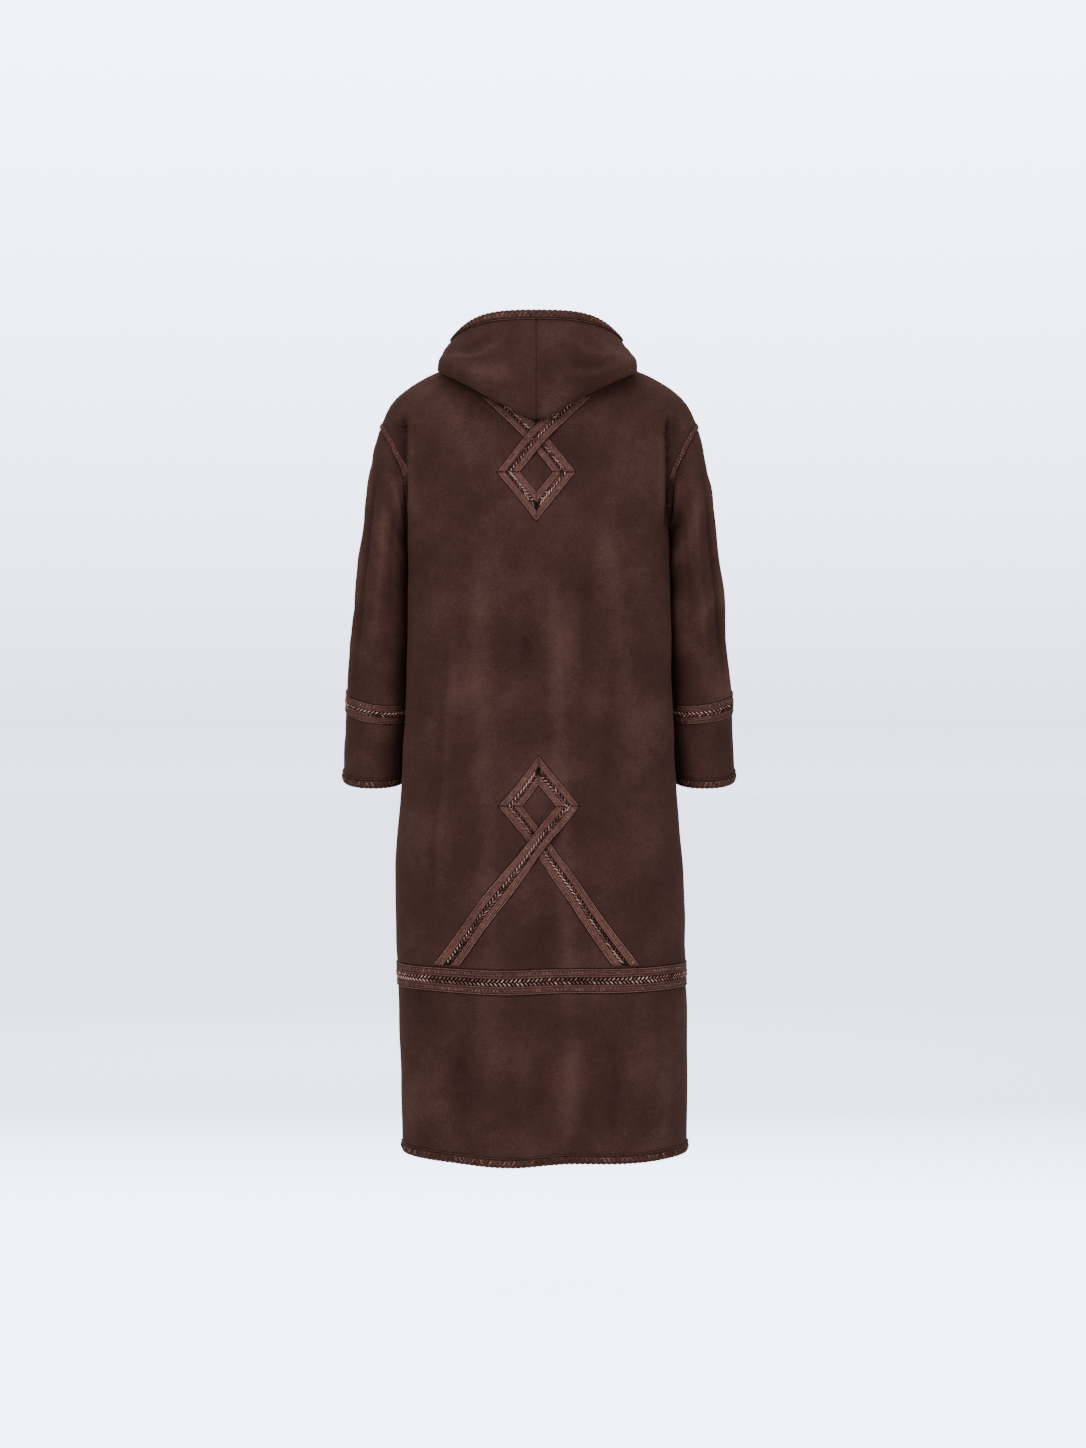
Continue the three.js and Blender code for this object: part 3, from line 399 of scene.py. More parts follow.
def sleeve_form(turn, along):
    """Oval rings from the armhole to the cuff, moved by what is left of the armhole's own shape."""
    turn, along = together(turn, along)
    c, s = turned_sides(turn)
    stay = (1 - look_up(SLEEVE, along)["leave"])[..., None]
    start = body_form(*beside_armhole(turn, 0.0)) - sleeve_ring(turn, 0 * along)
    point = sleeve_ring(turn, along) + start * stay
    for angle, width, out, top, full, fade, end in SLEEVE_FOLDS:
        strength = smooth((along - top) / (full - top)) * smooth((end - along) / (end - fade))
        move = out * strength * bell((np.mod(turn, 360) - angle) / width)
        point = point + np.stack([move * c, move * s, 0 * move], -1)
    return point + np.array([SEAM, 0, 0])


def shoulder_height(x, y):
    """The height of the body above a point near the neckline, found by halving between two levels."""
    high, low = np.full(x.shape, NECK), np.full(x.shape, ARM_TOP)
    for _ in range(24):
        level = (high + low) / 2
        row = look_up(BODY, level)
        depth = np.where(y >= 0, row["back"], row["front"])
        inside = np.abs(x / row["half"]) ** row["square"] + np.abs(y / depth) ** row["square"] < 1
        low, high = np.where(inside, level, low), np.where(inside, high, level)
    front = np.maximum(0, -y) / np.hypot(x, y)
    return low - look_up(BODY, low)["drop"] * front**1.5


def hood_form(degrees, along):
    """Rings from the neckline down to the fold and up again: ellipses kept clear of the shoulders."""
    degrees, along = together(degrees, along)
    c, s = turned_sides(degrees)
    row, lie = look_up(HOOD, along), look_up(HOOD_LIES, along)
    depth = np.abs(np.where(s >= 0, row["back"], row["front"]) - row["middle"])
    r = oval_radius(c, s, row["half"], depth, 2)
    x, y = r * c, row["middle"] + r * s
    behind = row["back_z"] + (row["side_z"] - row["back_z"]) * np.abs(x / row["half"]) ** lie["bend"]
    before = row["side_z"] + (row["front_z"] - row["side_z"]) * np.abs(s) ** lie["front_bend"]
    height = np.where(s >= 0, behind, before)
    least = shoulder_height(x, y) + lie["clear"]
    near = np.maximum(0, 6 - np.abs(height - least)) / 6
    ring = np.stack([x, y, np.maximum(height, least) + near * near * 6 / 4], -1)
    start = body_form(degrees, 0 * along) + np.array([0, 0, SEAM])
    return start + (ring - start) * smooth(along / 0.08)[..., None]


# --- meshes ---


def grid_faces(rows, columns, round_rows=False, round_columns=False):
    """The four corners of each face between neighbouring rows and columns of a grid."""
    i = np.arange(rows - (not round_rows))[:, None]
    j = np.arange(columns - (not round_columns))[None, :]
    below, beside = (i + 1) % rows, (j + 1) % columns
    corners = [i * columns + j, i * columns + beside, below * columns + beside, below * columns + j]
    return np.stack(np.broadcast_arrays(*corners), -1).reshape(-1, 4)


def swept_faces(rows, columns, closed):
    """Faces of a section with an even count carried along a path, capped unless the path is closed."""
    faces = grid_faces(rows, columns, closed, True)
    if closed:
        return faces
    k = np.arange(columns // 2 - 1)
    cap = np.stack([k, k + 1, columns - 2 - k, columns - 1 - k], -1)
    return np.vstack([faces, cap[:, ::-1], cap + (rows - 1) * columns])


def placed(name, data):
    thing = bpy.data.objects.new(name, data)
    bpy.context.scene.collection.objects.link(thing)
    return thing


def new_piece(name, node, slot, points, faces, materials, tone, which=None, uv=None):
    """A mesh object from arrays in millimetres, turned so that its faces point outwards."""
    points, faces = points.reshape(-1, 3) * MM, np.asarray(faces, np.int32)
    a, b, c, d = (points[faces[:, k]] for k in range(4))
    volume = np.sum(a * np.cross(b, c)) + np.sum(a * np.cross(c, d))
    if volume < 0:
        faces = faces[:, ::-1]
    mesh = bpy.data.meshes.new(name)
    mesh.vertices.add(len(points))
    mesh.vertices.foreach_set("co", points.astype(np.float32).ravel())
    mesh.loops.add(faces.size)
    mesh.loops.foreach_set("vertex_index", faces.ravel())
    mesh.polygons.add(len(faces))
    mesh.polygons.foreach_set("loop_start", np.arange(0, faces.size, 4, dtype=np.int32))
    if which is not None:
        mesh.polygons.foreach_set("material_index", np.asarray(which, np.int32))
    mesh.update(calc_edges=True)
    mesh.shade_smooth()
    # The tone holds painted light and shade as well as each part's own tone: fold and strap ridges are
    # lighter, and troughs, grooves and strap edges are darker.
    layer = mesh.attributes.new("tone", "FLOAT", "POINT")
    layer.data.foreach_set("value", tone.astype(np.float32))
    if uv is not None:
        layer = mesh.uv_layers.new(name="UVMap")
        layer.data.foreach_set("uv", uv.astype(np.float32)[faces.ravel()].ravel())
    for material in materials:
        mesh.materials.append(material)
    piece = placed(name, mesh)
    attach(piece, "root")
    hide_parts(node)
    return piece


class Parts:
    """Collects grids of points into one mesh, with each point's tone, which carries painted light and shade,
    and its place on the strap.
    """

    def __init__(self):
        self.points, self.faces, self.tones, self.uvs = [], [], [], []

    def add(self, points, faces, tone, s, across):
        self.faces.append(faces + sum(map(len, self.points)))
        self.points.append(points.reshape(-1, 3))
        self.tones.append(tone.ravel())
        self.uvs.append(np.stack(np.broadcast_arrays(s, across), -1).reshape(-1, 2))

    def piece(self, name, node):
        arrays = (np.vstack(self.points), np.vstack(self.faces))
        tones, uv = np.concatenate(self.tones), np.vstack(self.uvs)
        return new_piece(name, node, "braid", *arrays, [BRAID], tones, uv=uv)


def cloth_piece(name, node, outer, inner, tone, round_columns=False):
    """A wall between a suede grid and a fur grid, closed along its edges."""
    rows, columns = outer.shape[:2]
    size = rows * columns
    face = grid_faces(rows, columns, False, round_columns)
    i, j = np.arange(rows), np.arange(columns)
    first, last = j, (rows - 1) * columns + j[::-1]
    if round_columns:
        loops = [np.append(first, first[0]), np.append(last, last[0])]
    else:
        loops = [np.concatenate([first, i[1:] * columns + columns - 1, last[1:], i[-2::-1] * columns])]
    rims = [np.stack([p[1:], p[:-1], p[:-1] + size, p[1:] + size], -1) for p in loops]
    faces = np.vstack([face, face[:, ::-1] + size, *rims])
    which = np.zeros(len(faces), int)
    which[len(face):2 * len(face)] = 1
    points = np.concatenate([outer.reshape(-1, 3), inner.reshape(-1, 3)])
    tones = np.concatenate([tone.ravel(), 0 * tone.ravel()])
    return new_piece(name, node, "suede", points, faces, [SUEDE, FUR], tones, which)


# --- materials ---


def linear(*rgb):
    return tuple((c / 255 / 12.92 if c <= 10 else ((c / 255 + 0.055) / 1.055) ** 2.4) for c in rgb) + (1.0,)


def set_inputs(node, values):
    for key, value in values.items():
        node.inputs[key].default_value = value


def new_material(name):
    """A material with its tree's short ways and its main shader."""
    material = bpy.data.materials.new(name)
    material.use_nodes = True
    return material, Nodes(material.node_tree), material.node_tree.nodes["Principled BSDF"]


class Nodes:
    """Short ways to add and join the nodes of one tree."""

    def __init__(self, tree):
        self.tree = tree

    def add(self, kind, inputs=(), **settings):
        node = self.tree.nodes.new(kind)
        for key, value in settings.items():
            setattr(node, key, value)
        for key, value in dict(inputs).items():
            if isinstance(value, bpy.types.NodeSocket):
                self.tree.links.new(value, node.inputs[key])
            else:
                node.inputs[key].default_value = value
        return node

    def math(self, operation, *values, clamp=False):
        inputs = dict(enumerate(values))
        return self.add("ShaderNodeMath", inputs, operation=operation, use_clamp=clamp).outputs[0]

    def noise(self, vector, scale, detail, distortion=0.0):
        inputs = {"Vector": vector, "Scale": scale, "Detail": detail, "Distortion": distortion}
        return self.add("ShaderNodeTexNoise", inputs).outputs["Fac"]

    def ramp(self, factor, stops):
        node = self.add("ShaderNodeValToRGB", {"Fac": factor})
        ramp = node.color_ramp
        while len(ramp.elements) < len(stops):
            ramp.elements.new(0.5)
        for element, (place, *colour) in zip(ramp.elements, stops):
            element.position, element.color = place, linear(*colour)
        return node.outputs["Color"]


def grain_group():
    """Patches, mottling and fine grain as one shade about a half, thin scuffs, and a height for the bump."""
    tree = bpy.data.node_groups.new("grain", "ShaderNodeTree")
    face = tree.interface
    face.new_socket("Vector", in_out="INPUT", socket_type="NodeSocketVector")
    for name in ("Patch", "Mottle", "Grain"):
        face.new_socket(name, in_out="INPUT", socket_type="NodeSocketFloat")
    for name in ("Shade", "Scuff", "Height"):
        face.new_socket(name, in_out="OUTPUT", socket_type="NodeSocketFloat")
    nodes = Nodes(tree)
    given = nodes.add("NodeGroupInput").outputs
    tall = nodes.add("ShaderNodeVectorMath", {0: given["Vector"], 1: (1, 1, 0.6)}, operation="MULTIPLY")
    patch = nodes.noise(tall.outputs[0], given["Patch"], 3.0, 0.3)
    mottle = nodes.noise(given["Vector"], given["Mottle"], 5.0, 0.6)
    grain = nodes.noise(given["Vector"], given["Grain"], 2.0)
    shade = nodes.math("MULTIPLY_ADD", patch, 0.22, nodes.math("MULTIPLY_ADD", mottle, 0.5, -0.25))
    shade = nodes.math("MULTIPLY_ADD", grain, 0.85, nodes.math("ADD", shade, -0.035))
    line = nodes.math("ABSOLUTE", nodes.math("SUBTRACT", mottle, 0.5))
    thin = nodes.math("SUBTRACT", 1.0, nodes.math("MULTIPLY", line, 90.0), clamp=True)
    here = nodes.math("MULTIPLY_ADD", patch, 5.0, -2.6, clamp=True)
    height = nodes.math("MULTIPLY_ADD", grain, 0.55, nodes.math("MULTIPLY", mottle, 0.45))
    result = {"Shade": shade, "Scuff": nodes.math("MULTIPLY", thin, here), "Height": height}
    nodes.add("NodeGroupOutput", result)
    return tree


GRAIN = grain_group()


def finish(name, scales, stops, rough, bump, shader, contrast=1.0, tone=0.0, scuff=0.0):
    """A material whose colour runs over its stops by the grain's shade, its mesh's tone with the painted
    light and shade in it, and the scuffs.
    """
    material, nodes, principled = new_material(name)
    place = nodes.add("ShaderNodeTexCoord").outputs["Object"]
    given = {"Vector": place, **dict(zip(("Patch", "Mottle", "Grain"), scales))}
    out = nodes.add("ShaderNodeGroup", given, node_tree=GRAIN).outputs
    shade = nodes.math("MULTIPLY_ADD", out["Shade"], contrast, (1 - contrast) / 2)
    shade = nodes.math("MULTIPLY_ADD", out["Scuff"], scuff, shade)
    if tone:
        value = nodes.add("ShaderNodeAttribute", attribute_name="tone").outputs["Fac"]
        shade = nodes.math("MULTIPLY_ADD", value, tone, shade)
    join = material.node_tree.links.new
    join(nodes.ramp(shade, stops), principled.inputs["Base Color"])
    roughness = nodes.math("MULTIPLY_ADD", out["Shade"], -0.12, rough + 0.06, clamp=True)
    join(roughness, principled.inputs["Roughness"])
    raised = nodes.add("ShaderNodeBump", {"Strength": bump[0], "Distance": bump[1], "Height": out["Height"]})
    join(raised.outputs["Normal"], principled.inputs["Normal"])
    set_inputs(principled, shader)
    return material


MATT = {"Specular IOR Level": 0.15}
# The suede's tone adds the painted fold light and shade: lighter on fold ridges, darker in troughs.
SUEDE = finish(
    "brown_suede",
    (5.5, 40, 420),
    [(0.2, 48, 28, 24), (0.5, 69, 43, 38), (0.85, 96, 66, 59)],
    0.9, (0.4, 0.0006),
    {**MATT, "Sheen Weight": 0.2, "Sheen Roughness": 0.45, "Sheen Tint": linear(150, 108, 94)},
    contrast=0.5, tone=0.52, scuff=0.1,
)
FUR = finish(
    "clipped_fur",
    (14, 210, 1500),
    [(0.2, 40, 25, 20), (0.5, 76, 52, 43), (0.85, 122, 92, 76)],
    0.95, (0.9, 0.003),
    {**MATT, "Sheen Weight": 0.5, "Sheen Roughness": 0.35, "Sheen Tint": linear(190, 150, 125)},
)
# The braid's tone takes the painted light and shade of the strap sections, beside each strand's own tone.
BRAID = finish(
    "braided_leather",
    (26, 190, 700),
    [(0.1, 12, 5, 4), (0.42, 50, 28, 24), (0.6, 92, 59, 52), (0.8, 138, 97, 87), (1.0, 208, 164, 150)],
    0.6, (0.45, 0.0004),
    {"Specular IOR Level": 0.1},
    contrast=0.5, tone=1.0,
)

# --- cloth ---


def path_lookup(curve, low, high, count=1600):
    """The length of a curve between two values, and the value at each distance along it."""
    fine = np.linspace(low, high, count)
    steps = np.linalg.norm(np.diff(curve(fine), axis=0), axis=-1)
    run = np.concatenate([[0], np.cumsum(steps)])
    return run[-1], lambda s: np.interp(s, run, fine)


def edged(shares, near):
    """Shares from 0 to 1 with extra ones close to both ends."""
    return np.unique(np.concatenate([shares, near, 1 - np.array(near)]))


def body_levels():
    """Even rows down the skirt, closer ones by the armhole's ends, and even ones over the shoulder."""
    skirt = np.linspace(HEM, ARM_BOTTOM, 150)
    arm = ARM_MIDDLE - ARM_HALF * np.cos(np.pi * np.linspace(0, 1, 36))
    up_and_over = lambda level: body_form(np.full_like(level, 35), level)
    length, shoulder = path_lookup(up_and_over, ARM_TOP, NECK, 1500)
    return np.concatenate([skirt[:-1], arm, shoulder(np.linspace(0, length, round(length / 4.5)))[1:]])


def painted_fold_light(outer, flat, n):
    """Painted light and shade: lighter where a fold stands out from its form, and darker in a trough."""
    return np.einsum("...k,...k->...", outer - flat, n) / FOLD_LIGHT_MM


def body_panel(name, node, sides, columns, width, seed, dips=(1, 1)):
    """A body panel between the angles that sides gives for each level, its edges sunk into the seams."""
    level = body_levels()[:, None]
    low, high = sides(level)
    share = edged(np.linspace(0, 1, columns), (0.003, 0.007, 0.013))[None, :]
    degrees = low + (high - low) * share
    level = level + 0 * share
    outer = body_surface(degrees, level)
    n = normals_of(body_form, degrees, level, 0.4, 1.0)
    dip = SEAM_DIP * (dips[0] * bell(share * width / 2.2) + dips[1] * bell((1 - share) * width / 2.2))
    fur = WALL + 0.5 + unevenness(degrees * 3, level, seed, 0.45, 9)
    tone = painted_fold_light(outer, body_form(degrees, level), n)
    return cloth_piece(name, node, outer - n * dip[..., None], outer - n * fur[..., None], tone)


def back_sides(level):
    side = np.maximum(side_angle(level), 0.01)
    return side, 180 - side


def front_sides(level):
    side = np.maximum(side_angle(level), 0.01)
    return -90 + np.degrees(FRONT_EDGE / look_up(BODY, level)["front"]), -side


def mirrored(sides):
    return lambda level: [180 - angle for angle in sides(level)[::-1]]


def sleeve_on(creases, seed, side):
    """A sleeve's face: its form with one side's creases, mirrored for the right."""

    def surface(turn, along):
        base = sleeve_form(turn, along)
        around = (np.mod(turn + 180, 360) - 180) * ROUND_MM
        down = along * SLEEVE_MM
        out = relief(around, down, creases) + unevenness(around, down, seed, 0.9, 40)
        seam = smooth((180 - np.abs(around) / ROUND_MM) / 25)
        free = smooth(along / 0.09) * smooth((1.02 - along) / 0.14) * seam
        n = normals_of(sleeve_form, turn, np.maximum(along, 0.006), 1.0, 0.005, -1)
        return (base + n * (out * free)[..., None]) * np.array([side, 1, 1])

    return surface


def hood_on(creases, seed):
    """The left half of the hood's face with one side's creases."""

    def surface(degrees, along):
        base = hood_form(degrees, along)
        around, down = degrees * HOOD_ROUND_MM, along * HOOD_MM
        out = relief(around, down, creases) + unevenness(around, down, seed, 1.0, 44)
        free = smooth((90 - degrees) / 9) * smooth(along / 0.12) * smooth((1.01 - along) / 0.1)
        n = normals_of(hood_form, degrees, np.clip(along, 0.012, 0.988), 1.0, 0.01)
        return base + n * (out * free)[..., None]

    return surface


def set_aside(points, along):
    """The hood lies a little towards the robe's left."""
    return points + HOOD_ASIDE * smooth(along / 0.5)[..., None] * np.array([1, 0, 0])


def sleeve_panel(name, node, surface, side, seed):
    turn = (np.arange(96) * 360 / 96)[None, :]
    along = edged(np.linspace(0, 1, 116), (0.002, 0.005, 0.01))[:, None]
    turn, along = turn + 0 * along, along + 0 * turn
    outer = surface(turn, along)
    own = normals_of(sleeve_form, turn, np.clip(along, 0.006, 0.994), 1.0, 0.005, -1)
    angle, level = beside_armhole(turn, 0.0)
    shoulder = (1 + np.cos(np.radians(turn))) / 2
    share = (shoulder * (1 - smooth(along / 0.1)))[..., None]
    n = own * (1 - share) + normals_of(body_form, angle, level, 0.4, 1.0) * share
    n = n / np.linalg.norm(n, axis=-1, keepdims=True) * np.array([side, 1, 1])
    dip = SEAM_DIP * bell(along * SLEEVE_MM / 2.2)
    fur = WALL + 0.4 + unevenness(turn * ROUND_MM, along * SLEEVE_MM, seed, 0.45, 9)
    tone = painted_fold_light(outer, sleeve_form(turn, along) * np.array([side, 1, 1]), n)
    return cloth_piece(name, node, outer - n * dip[..., None], outer - n * fur[..., None], tone, True)


def hood_panel(name, node, surface, side, seed):
    along = edged(np.linspace(0, 1, 104), (0.003, 0.006))[:, None]
    row = look_up(HOOD, along)
    low = -90 + np.degrees(1.5 / (row["middle"] - row["front"]))
    share = edged(np.linspace(0, 1, 92), (0.002, 0.005, 0.009))[None, :]
    degrees = low + (HOOD_SEAM - low) * share
    along = along + 0 * share
    outer = surface(degrees, along)
    n = normals_of(hood_form, degrees, np.clip(along, 0.012, 0.988), 1.0, 0.01)
    n[..., 0] = np.where(degrees > 89.3, 0, n[..., 0])
    n = n / np.linalg.norm(n, axis=-1, keepdims=True)
    from_seam = (1 - share) * 400
    dip = 1.5 * bell(from_seam / 1.8) - 0.7 * bell((from_seam - 5) / 2.6) + 0.8 * bell(along * HOOD_MM / 2)
    fur = WALL + 0.3 + unevenness(degrees * 2, along * HOOD_MM, seed, 0.4, 9)
    tone = painted_fold_light(outer, hood_form(degrees, along), n)
    faces = [set_aside((outer - n * deep[..., None]) * np.array([side, 1, 1]), along) for deep in (dip, fur)]
    return cloth_piece(name, node, *faces, tone)


# --- straps and bindings ---


def laid(surface, du, dv, to_uv, out=1):
    """Points on a surface at distances along and across a strap, raised along the surface's normal."""

    def place(s, across, up):
        s, across, up = together(s, across, up)
        u, v = to_uv(s, across)
        return surface(u, v) + normals_of(surface, u, v, du, dv, out) * up[..., None]

    return place


def folded_over(place):
    """The same place, and past an edge straight on in the direction in which the cloth ends."""

    def beyond(s, inward, up):
        inside, past = np.maximum(inward, 0), np.maximum(-np.asarray(inward, float), 0)
        point = place(s, inside, up)
        onward = place(s, 0.0, 0.0) - place(s, 1.5, 0.0)
        onward = onward / np.linalg.norm(onward, axis=-1, keepdims=True)
        return point + onward * np.broadcast_to(past, point.shape[:-1])[..., None]

    return beyond


def add_strands(parts, place, s, across, up, thick, tone, length=None):
    """Short oval strands that swell from a small end and back. On a closed path they run on over its end."""
    s = np.mod(s, length) if length else s
    across, up = across + 0 * s, up + 0 * s
    count, rings = s.shape
    sides = 6
    swell = thick * (0.4 + 0.6 * np.sin(np.pi * np.linspace(0, 1, rings)))
    centres = place(s, across, up)
    normal = place(s, across, up + 1) - centres
    side = np.cross(normal, np.gradient(centres, axis=1))
    side /= np.linalg.norm(side, axis=-1, keepdims=True)
    turn = (np.arange(sides) + 0.5) * 2 * math.pi / sides
    wide, high = np.cos(turn)[:, None], 0.75 * np.sin(turn)[:, None]
    ring = side[:, :, None] * wide + normal[:, :, None] * high
    points = centres[:, :, None] + ring * swell[None, :, None, None]
    first = np.arange(count)[:, None, None] * rings * sides
    faces = (first + swept_faces(rings, sides, False)).reshape(-1, 4)
    parts.add(points, faces, np.repeat(tone, rings * sides), s[..., None] + 0 * turn, across[..., None])


def spread(length, gap, closed, spare):
    """Even places along a strap, kept off its ends unless it is closed."""
    count = max(3, round(length / gap))
    share = (np.arange(count) + 0.5) / count
    return share * length if closed else spare + share * (length - 2 * spare)


def varied(places, rng, base):
    """A tone that changes a little from strand to strand and slowly along the strap."""
    return base + 0.1 * rng.standard_normal(len(places)) + 0.1 * np.sin(places / 31 + 6 * rng.random())


def add_plait(parts, place, length, closed, reach, lean, gap, tones, thick=1.0):
    """Two rows of strands that lean ahead from the middle, as the turns of a plait do."""
    rng = np.random.default_rng(int(length))
    out = np.linspace(0.08, 1, 5)
    for row, base in zip((-1, 1), tones):
        start = spread(length, gap, closed, lean)
        s = start[:, None] + lean * (out - 0.5) + row * gap / 4
        up = 1.25 + 0.75 * np.sin(np.pi * out)
        tone = varied(start, rng, base)
        add_strands(parts, place, s, row * reach * out, up, thick, tone, closed and length)


def add_lacing(parts, place, length, closed, near, far, lean, gap, base):
    """Crossed strands over the face of a binding, one way above the other."""
    rng = np.random.default_rng(int(length) + 1)
    share = np.linspace(0, 1, 5)
    for way, rise in ((1, 0.55), (-1, 0.0)):
        start = spread(length, gap, closed, lean)
        s = start[:, None] + lean * way * (share - 0.5)
        up = 1.95 + rise * np.sin(np.pi * share)
        across = near + (far - near) * share
        add_strands(parts, place, s, across, up, 0.75, varied(start, rng, base), closed and length)


def add_stitches(parts, place, length, closed, across, gap, long, thick, up, base):
    """A row of short stitches."""
    rng = np.random.default_rng(int(length + 10 * across))
    start = spread(length, gap, closed, long)
    s = start[:, None] + long * np.linspace(-0.5, 0.5, 4)
    add_strands(parts, place, s, across, up, thick, varied(start, rng, base))


# Half of a strap's section from its edge to its middle: share of the width, up, tone. The tone paints light
# on the raised welts and ridges, shade in the grooves, and a shadow line along the edge.
STRAP_SECTION = rows_of("""
0.5 0.5 -0.4
0.468 0.8 -0.38
0.454 1.9 0.1
0.436 2.3 0.28
0.405 1.3 -0.25
0.37 1.95 0.16
0.325 1.6 -0.13
0.275 1.9 0.15
0.225 1.6 -0.08
0.17 1.95 0.17
0.13 0.9 -0.3
0 0.6 -0.36
""")
# The tape's half section likewise: share of the width, up, and a tone of painted light on its ridges and
# painted shade in its grooves and at its edge.
TAPE_SECTION = rows_of("""
0.5 0.4 -0.3
0.46 1.3 0.12
0.36 1.5 0.08
0.24 1.1 -0.14
0.1 1.45 0.08
0 1.45 0.04
""")
LEAST_UP = 0.25


def add_band(parts, place, length, closed, width, section, light, step=5.0, mitre=None):
    """A section, mirrored about its middle, along a path over a flat underside; it dips in a mitre's line."""
    half = np.array(section)
    top = np.vstack([half * [-1, 1, 1], half[-2::-1]])
    across = np.concatenate([top[:, 0], top[::-1, 0]]) * width
    under = np.full(len(top), LEAST_UP)
    steps = max(4, int(length / step))
    s = np.arange(steps) * length / steps if closed else np.linspace(0, length, steps)
    # Painted light and shade across the section, and the underside painted dark as shade.
    shade = np.concatenate([top[:, 2] + light, under - 0.6])[None] + 0 * s[:, None]
    up = np.concatenate([top[:, 1], under])[None] + 0 * s[:, None]
    if mitre is not None:
        extra = mitre + np.array([-1.6, -0.7, 0, 0.7, 1.6])
        s = np.unique(np.concatenate([s[np.abs(s - mitre) > 2.5], extra]))
        steps = len(s)
        line = bell((s - mitre) / 0.8)[:, None]
        shade = shade[:1] - 0.4 * line
        least = LEAST_UP * np.where(np.arange(len(across)) < len(top), 1, 0.5)
        up = np.maximum(up[:1] - 0.9 * line, least)
    s, across = s[:, None], across[None]
    parts.add(place(s, across, up), swept_faces(steps, across.size, closed), shade, s, across)


def strap_piece(name, node, place, length, closed, width, plait, light, stitch, mitre=None):
    """A strap with a plait down its middle and a row of stitches on each side of it."""
    parts = Parts()
    add_band(parts, place, length, closed, width, STRAP_SECTION, light, mitre=mitre)
    add_plait(parts, place, length, closed, *plait)
    for across in (-0.325, 0.325):
        add_stitches(parts, place, length, closed, across * width, 5.8, 3.1, 0.55, 1.75, stitch)
    parts.piece(name, node)


# A folded edge binding's outer line: inward, up, how far it follows the scallops, tone. The tone paints light
# on the raised welt and shade in the grooves and along the inner edge.
BINDING_OUT = rows_of("""
13.4 0.7 0 -0.4
12.3 2.3 0 0.2
10.9 1.3 0 -0.26
9.3 1.9 0 0
0.8 1.9 0.25 0
-2 0.1 1 0.08
-2.6 -4.2 1 -0.1
0.3 -7.1 0.3 -0.1
""")
BINDING_IN = rows_of("""
13.4 0.25
12.3 0.25
10.9 0.25
9.3 0.25
-0.4 0.25
-0.5 -1.5
-0.5 -4.4
0.3 -6.35
""")


def binding_piece(name, node, place, length, closed, width=1.0, deep=1.3):
    """A strip folded round an edge, scalloped where the lacing pulls it in."""
    parts = Parts()
    out, back = np.array(BINDING_OUT), np.array(BINDING_IN)
    count = max(3, round(length / 8.6))
    steps = count * 6
    s = np.arange(steps) * length / steps if closed else np.linspace(0, length, steps)
    wave = np.abs(np.sin(math.pi * count * s / length))[:, None]
    inward = np.where(out[:, 0] > 0, out[:, 0] * width, out[:, 0]) - deep * wave * out[:, 2]
    inner = np.where(back[:, 0] > 0, back[:, 0] * width, back[:, 0]) + 0 * wave
    across = np.hstack([inward, inner[:, ::-1]])
    up = np.concatenate([out[:, 1], back[::-1, 1]]) + 0 * across
    # Painted light and shade: a scallop's bulge is lighter, it is darker where the lacing pulls it in, and
    # the inner face is painted dark as shade.
    shade = np.hstack([out[:, 3] + 0.12 * (wave - 0.6) * out[:, 2], 0 * inner - 0.3])
    s = s[:, None]
    parts.add(place(s, across, up), swept_faces(steps, across.shape[1], closed), shade, s, across)
    add_lacing(parts, place, length, closed, 1.6 * width, 8.4 * width, 5.2, 7.4, 0.12)
    parts.piece(name, node)


BODY_PLACE = (body_surface, 0.4, 1.0)


def round_body(level, clear):
    """A path round the robe at a level, from one front to the other, clear of the front's middle."""
    end = 90 - math.degrees(clear / float(look_up(BODY, level)["front"]))
    return path_lookup(lambda d: body_surface(d, level + 0 * d), -end, 180 + end)


def skirt_band():
    level = -1018
    length, angle = round_body(level, FRONT_EDGE + 13.8)
    place = laid(*BODY_PLACE, lambda s, across: (angle(s), level + across))
    plait = (5.2, 5.5, 7.0, (0.36, 0.3), 1.3)
    strap_piece("skirt_strap", "skirt_band", place, length, False, 41, plait, 0.02, 0.26)


def hem_binding():
    length, angle = round_body(HEM, FRONT_EDGE - 2.4)
    place = folded_over(laid(*BODY_PLACE, lambda s, inward: (angle(s), HEM + inward)))
    binding_piece("hem_braid", "hem_binding", place, length, False)


def front_binding(side, hand):
    length, level = path_lookup(lambda k: body_surface(-90 + 0 * k, k), HEM + 15, -4.0)

    def to_uv(s, inward):
        at = level(s)
        degrees = -90 + np.degrees((FRONT_EDGE + inward) / look_up(BODY, at)["front"])
        return (degrees if side > 0 else 180 - degrees), at

    place = folded_over(laid(*BODY_PLACE, to_uv))
    binding_piece(f"front_braid_{hand}", f"front_binding_{hand}", place, length, False, deep=0.7)


def hood_rim():
    def surface(degrees, along):
        right = degrees > 90
        half = np.where(right, 180 - degrees, degrees)
        found = np.where(right[..., None], HOOD_RIGHT(half, along), HOOD_LEFT(half, along))
        return set_aside(found * np.where(right, -1, 1)[..., None] ** np.array([1, 0, 0]), along)

    row = look_up(HOOD, 1.0)
    end = 90 - math.degrees(2.2 / float(row["middle"] - row["front"]))
    length, angle = path_lookup(lambda d: surface(d, 1.0 + 0 * d), -end, 180 + end)

    def to_uv(s, inward):
        return angle(s), 0.9985 - inward / HOOD_MM

    place = folded_over(laid(surface, 0.5, 0.0012, to_uv))
    binding_piece("hood_braid", "hood_rim_binding", place, length, False, 0.84)


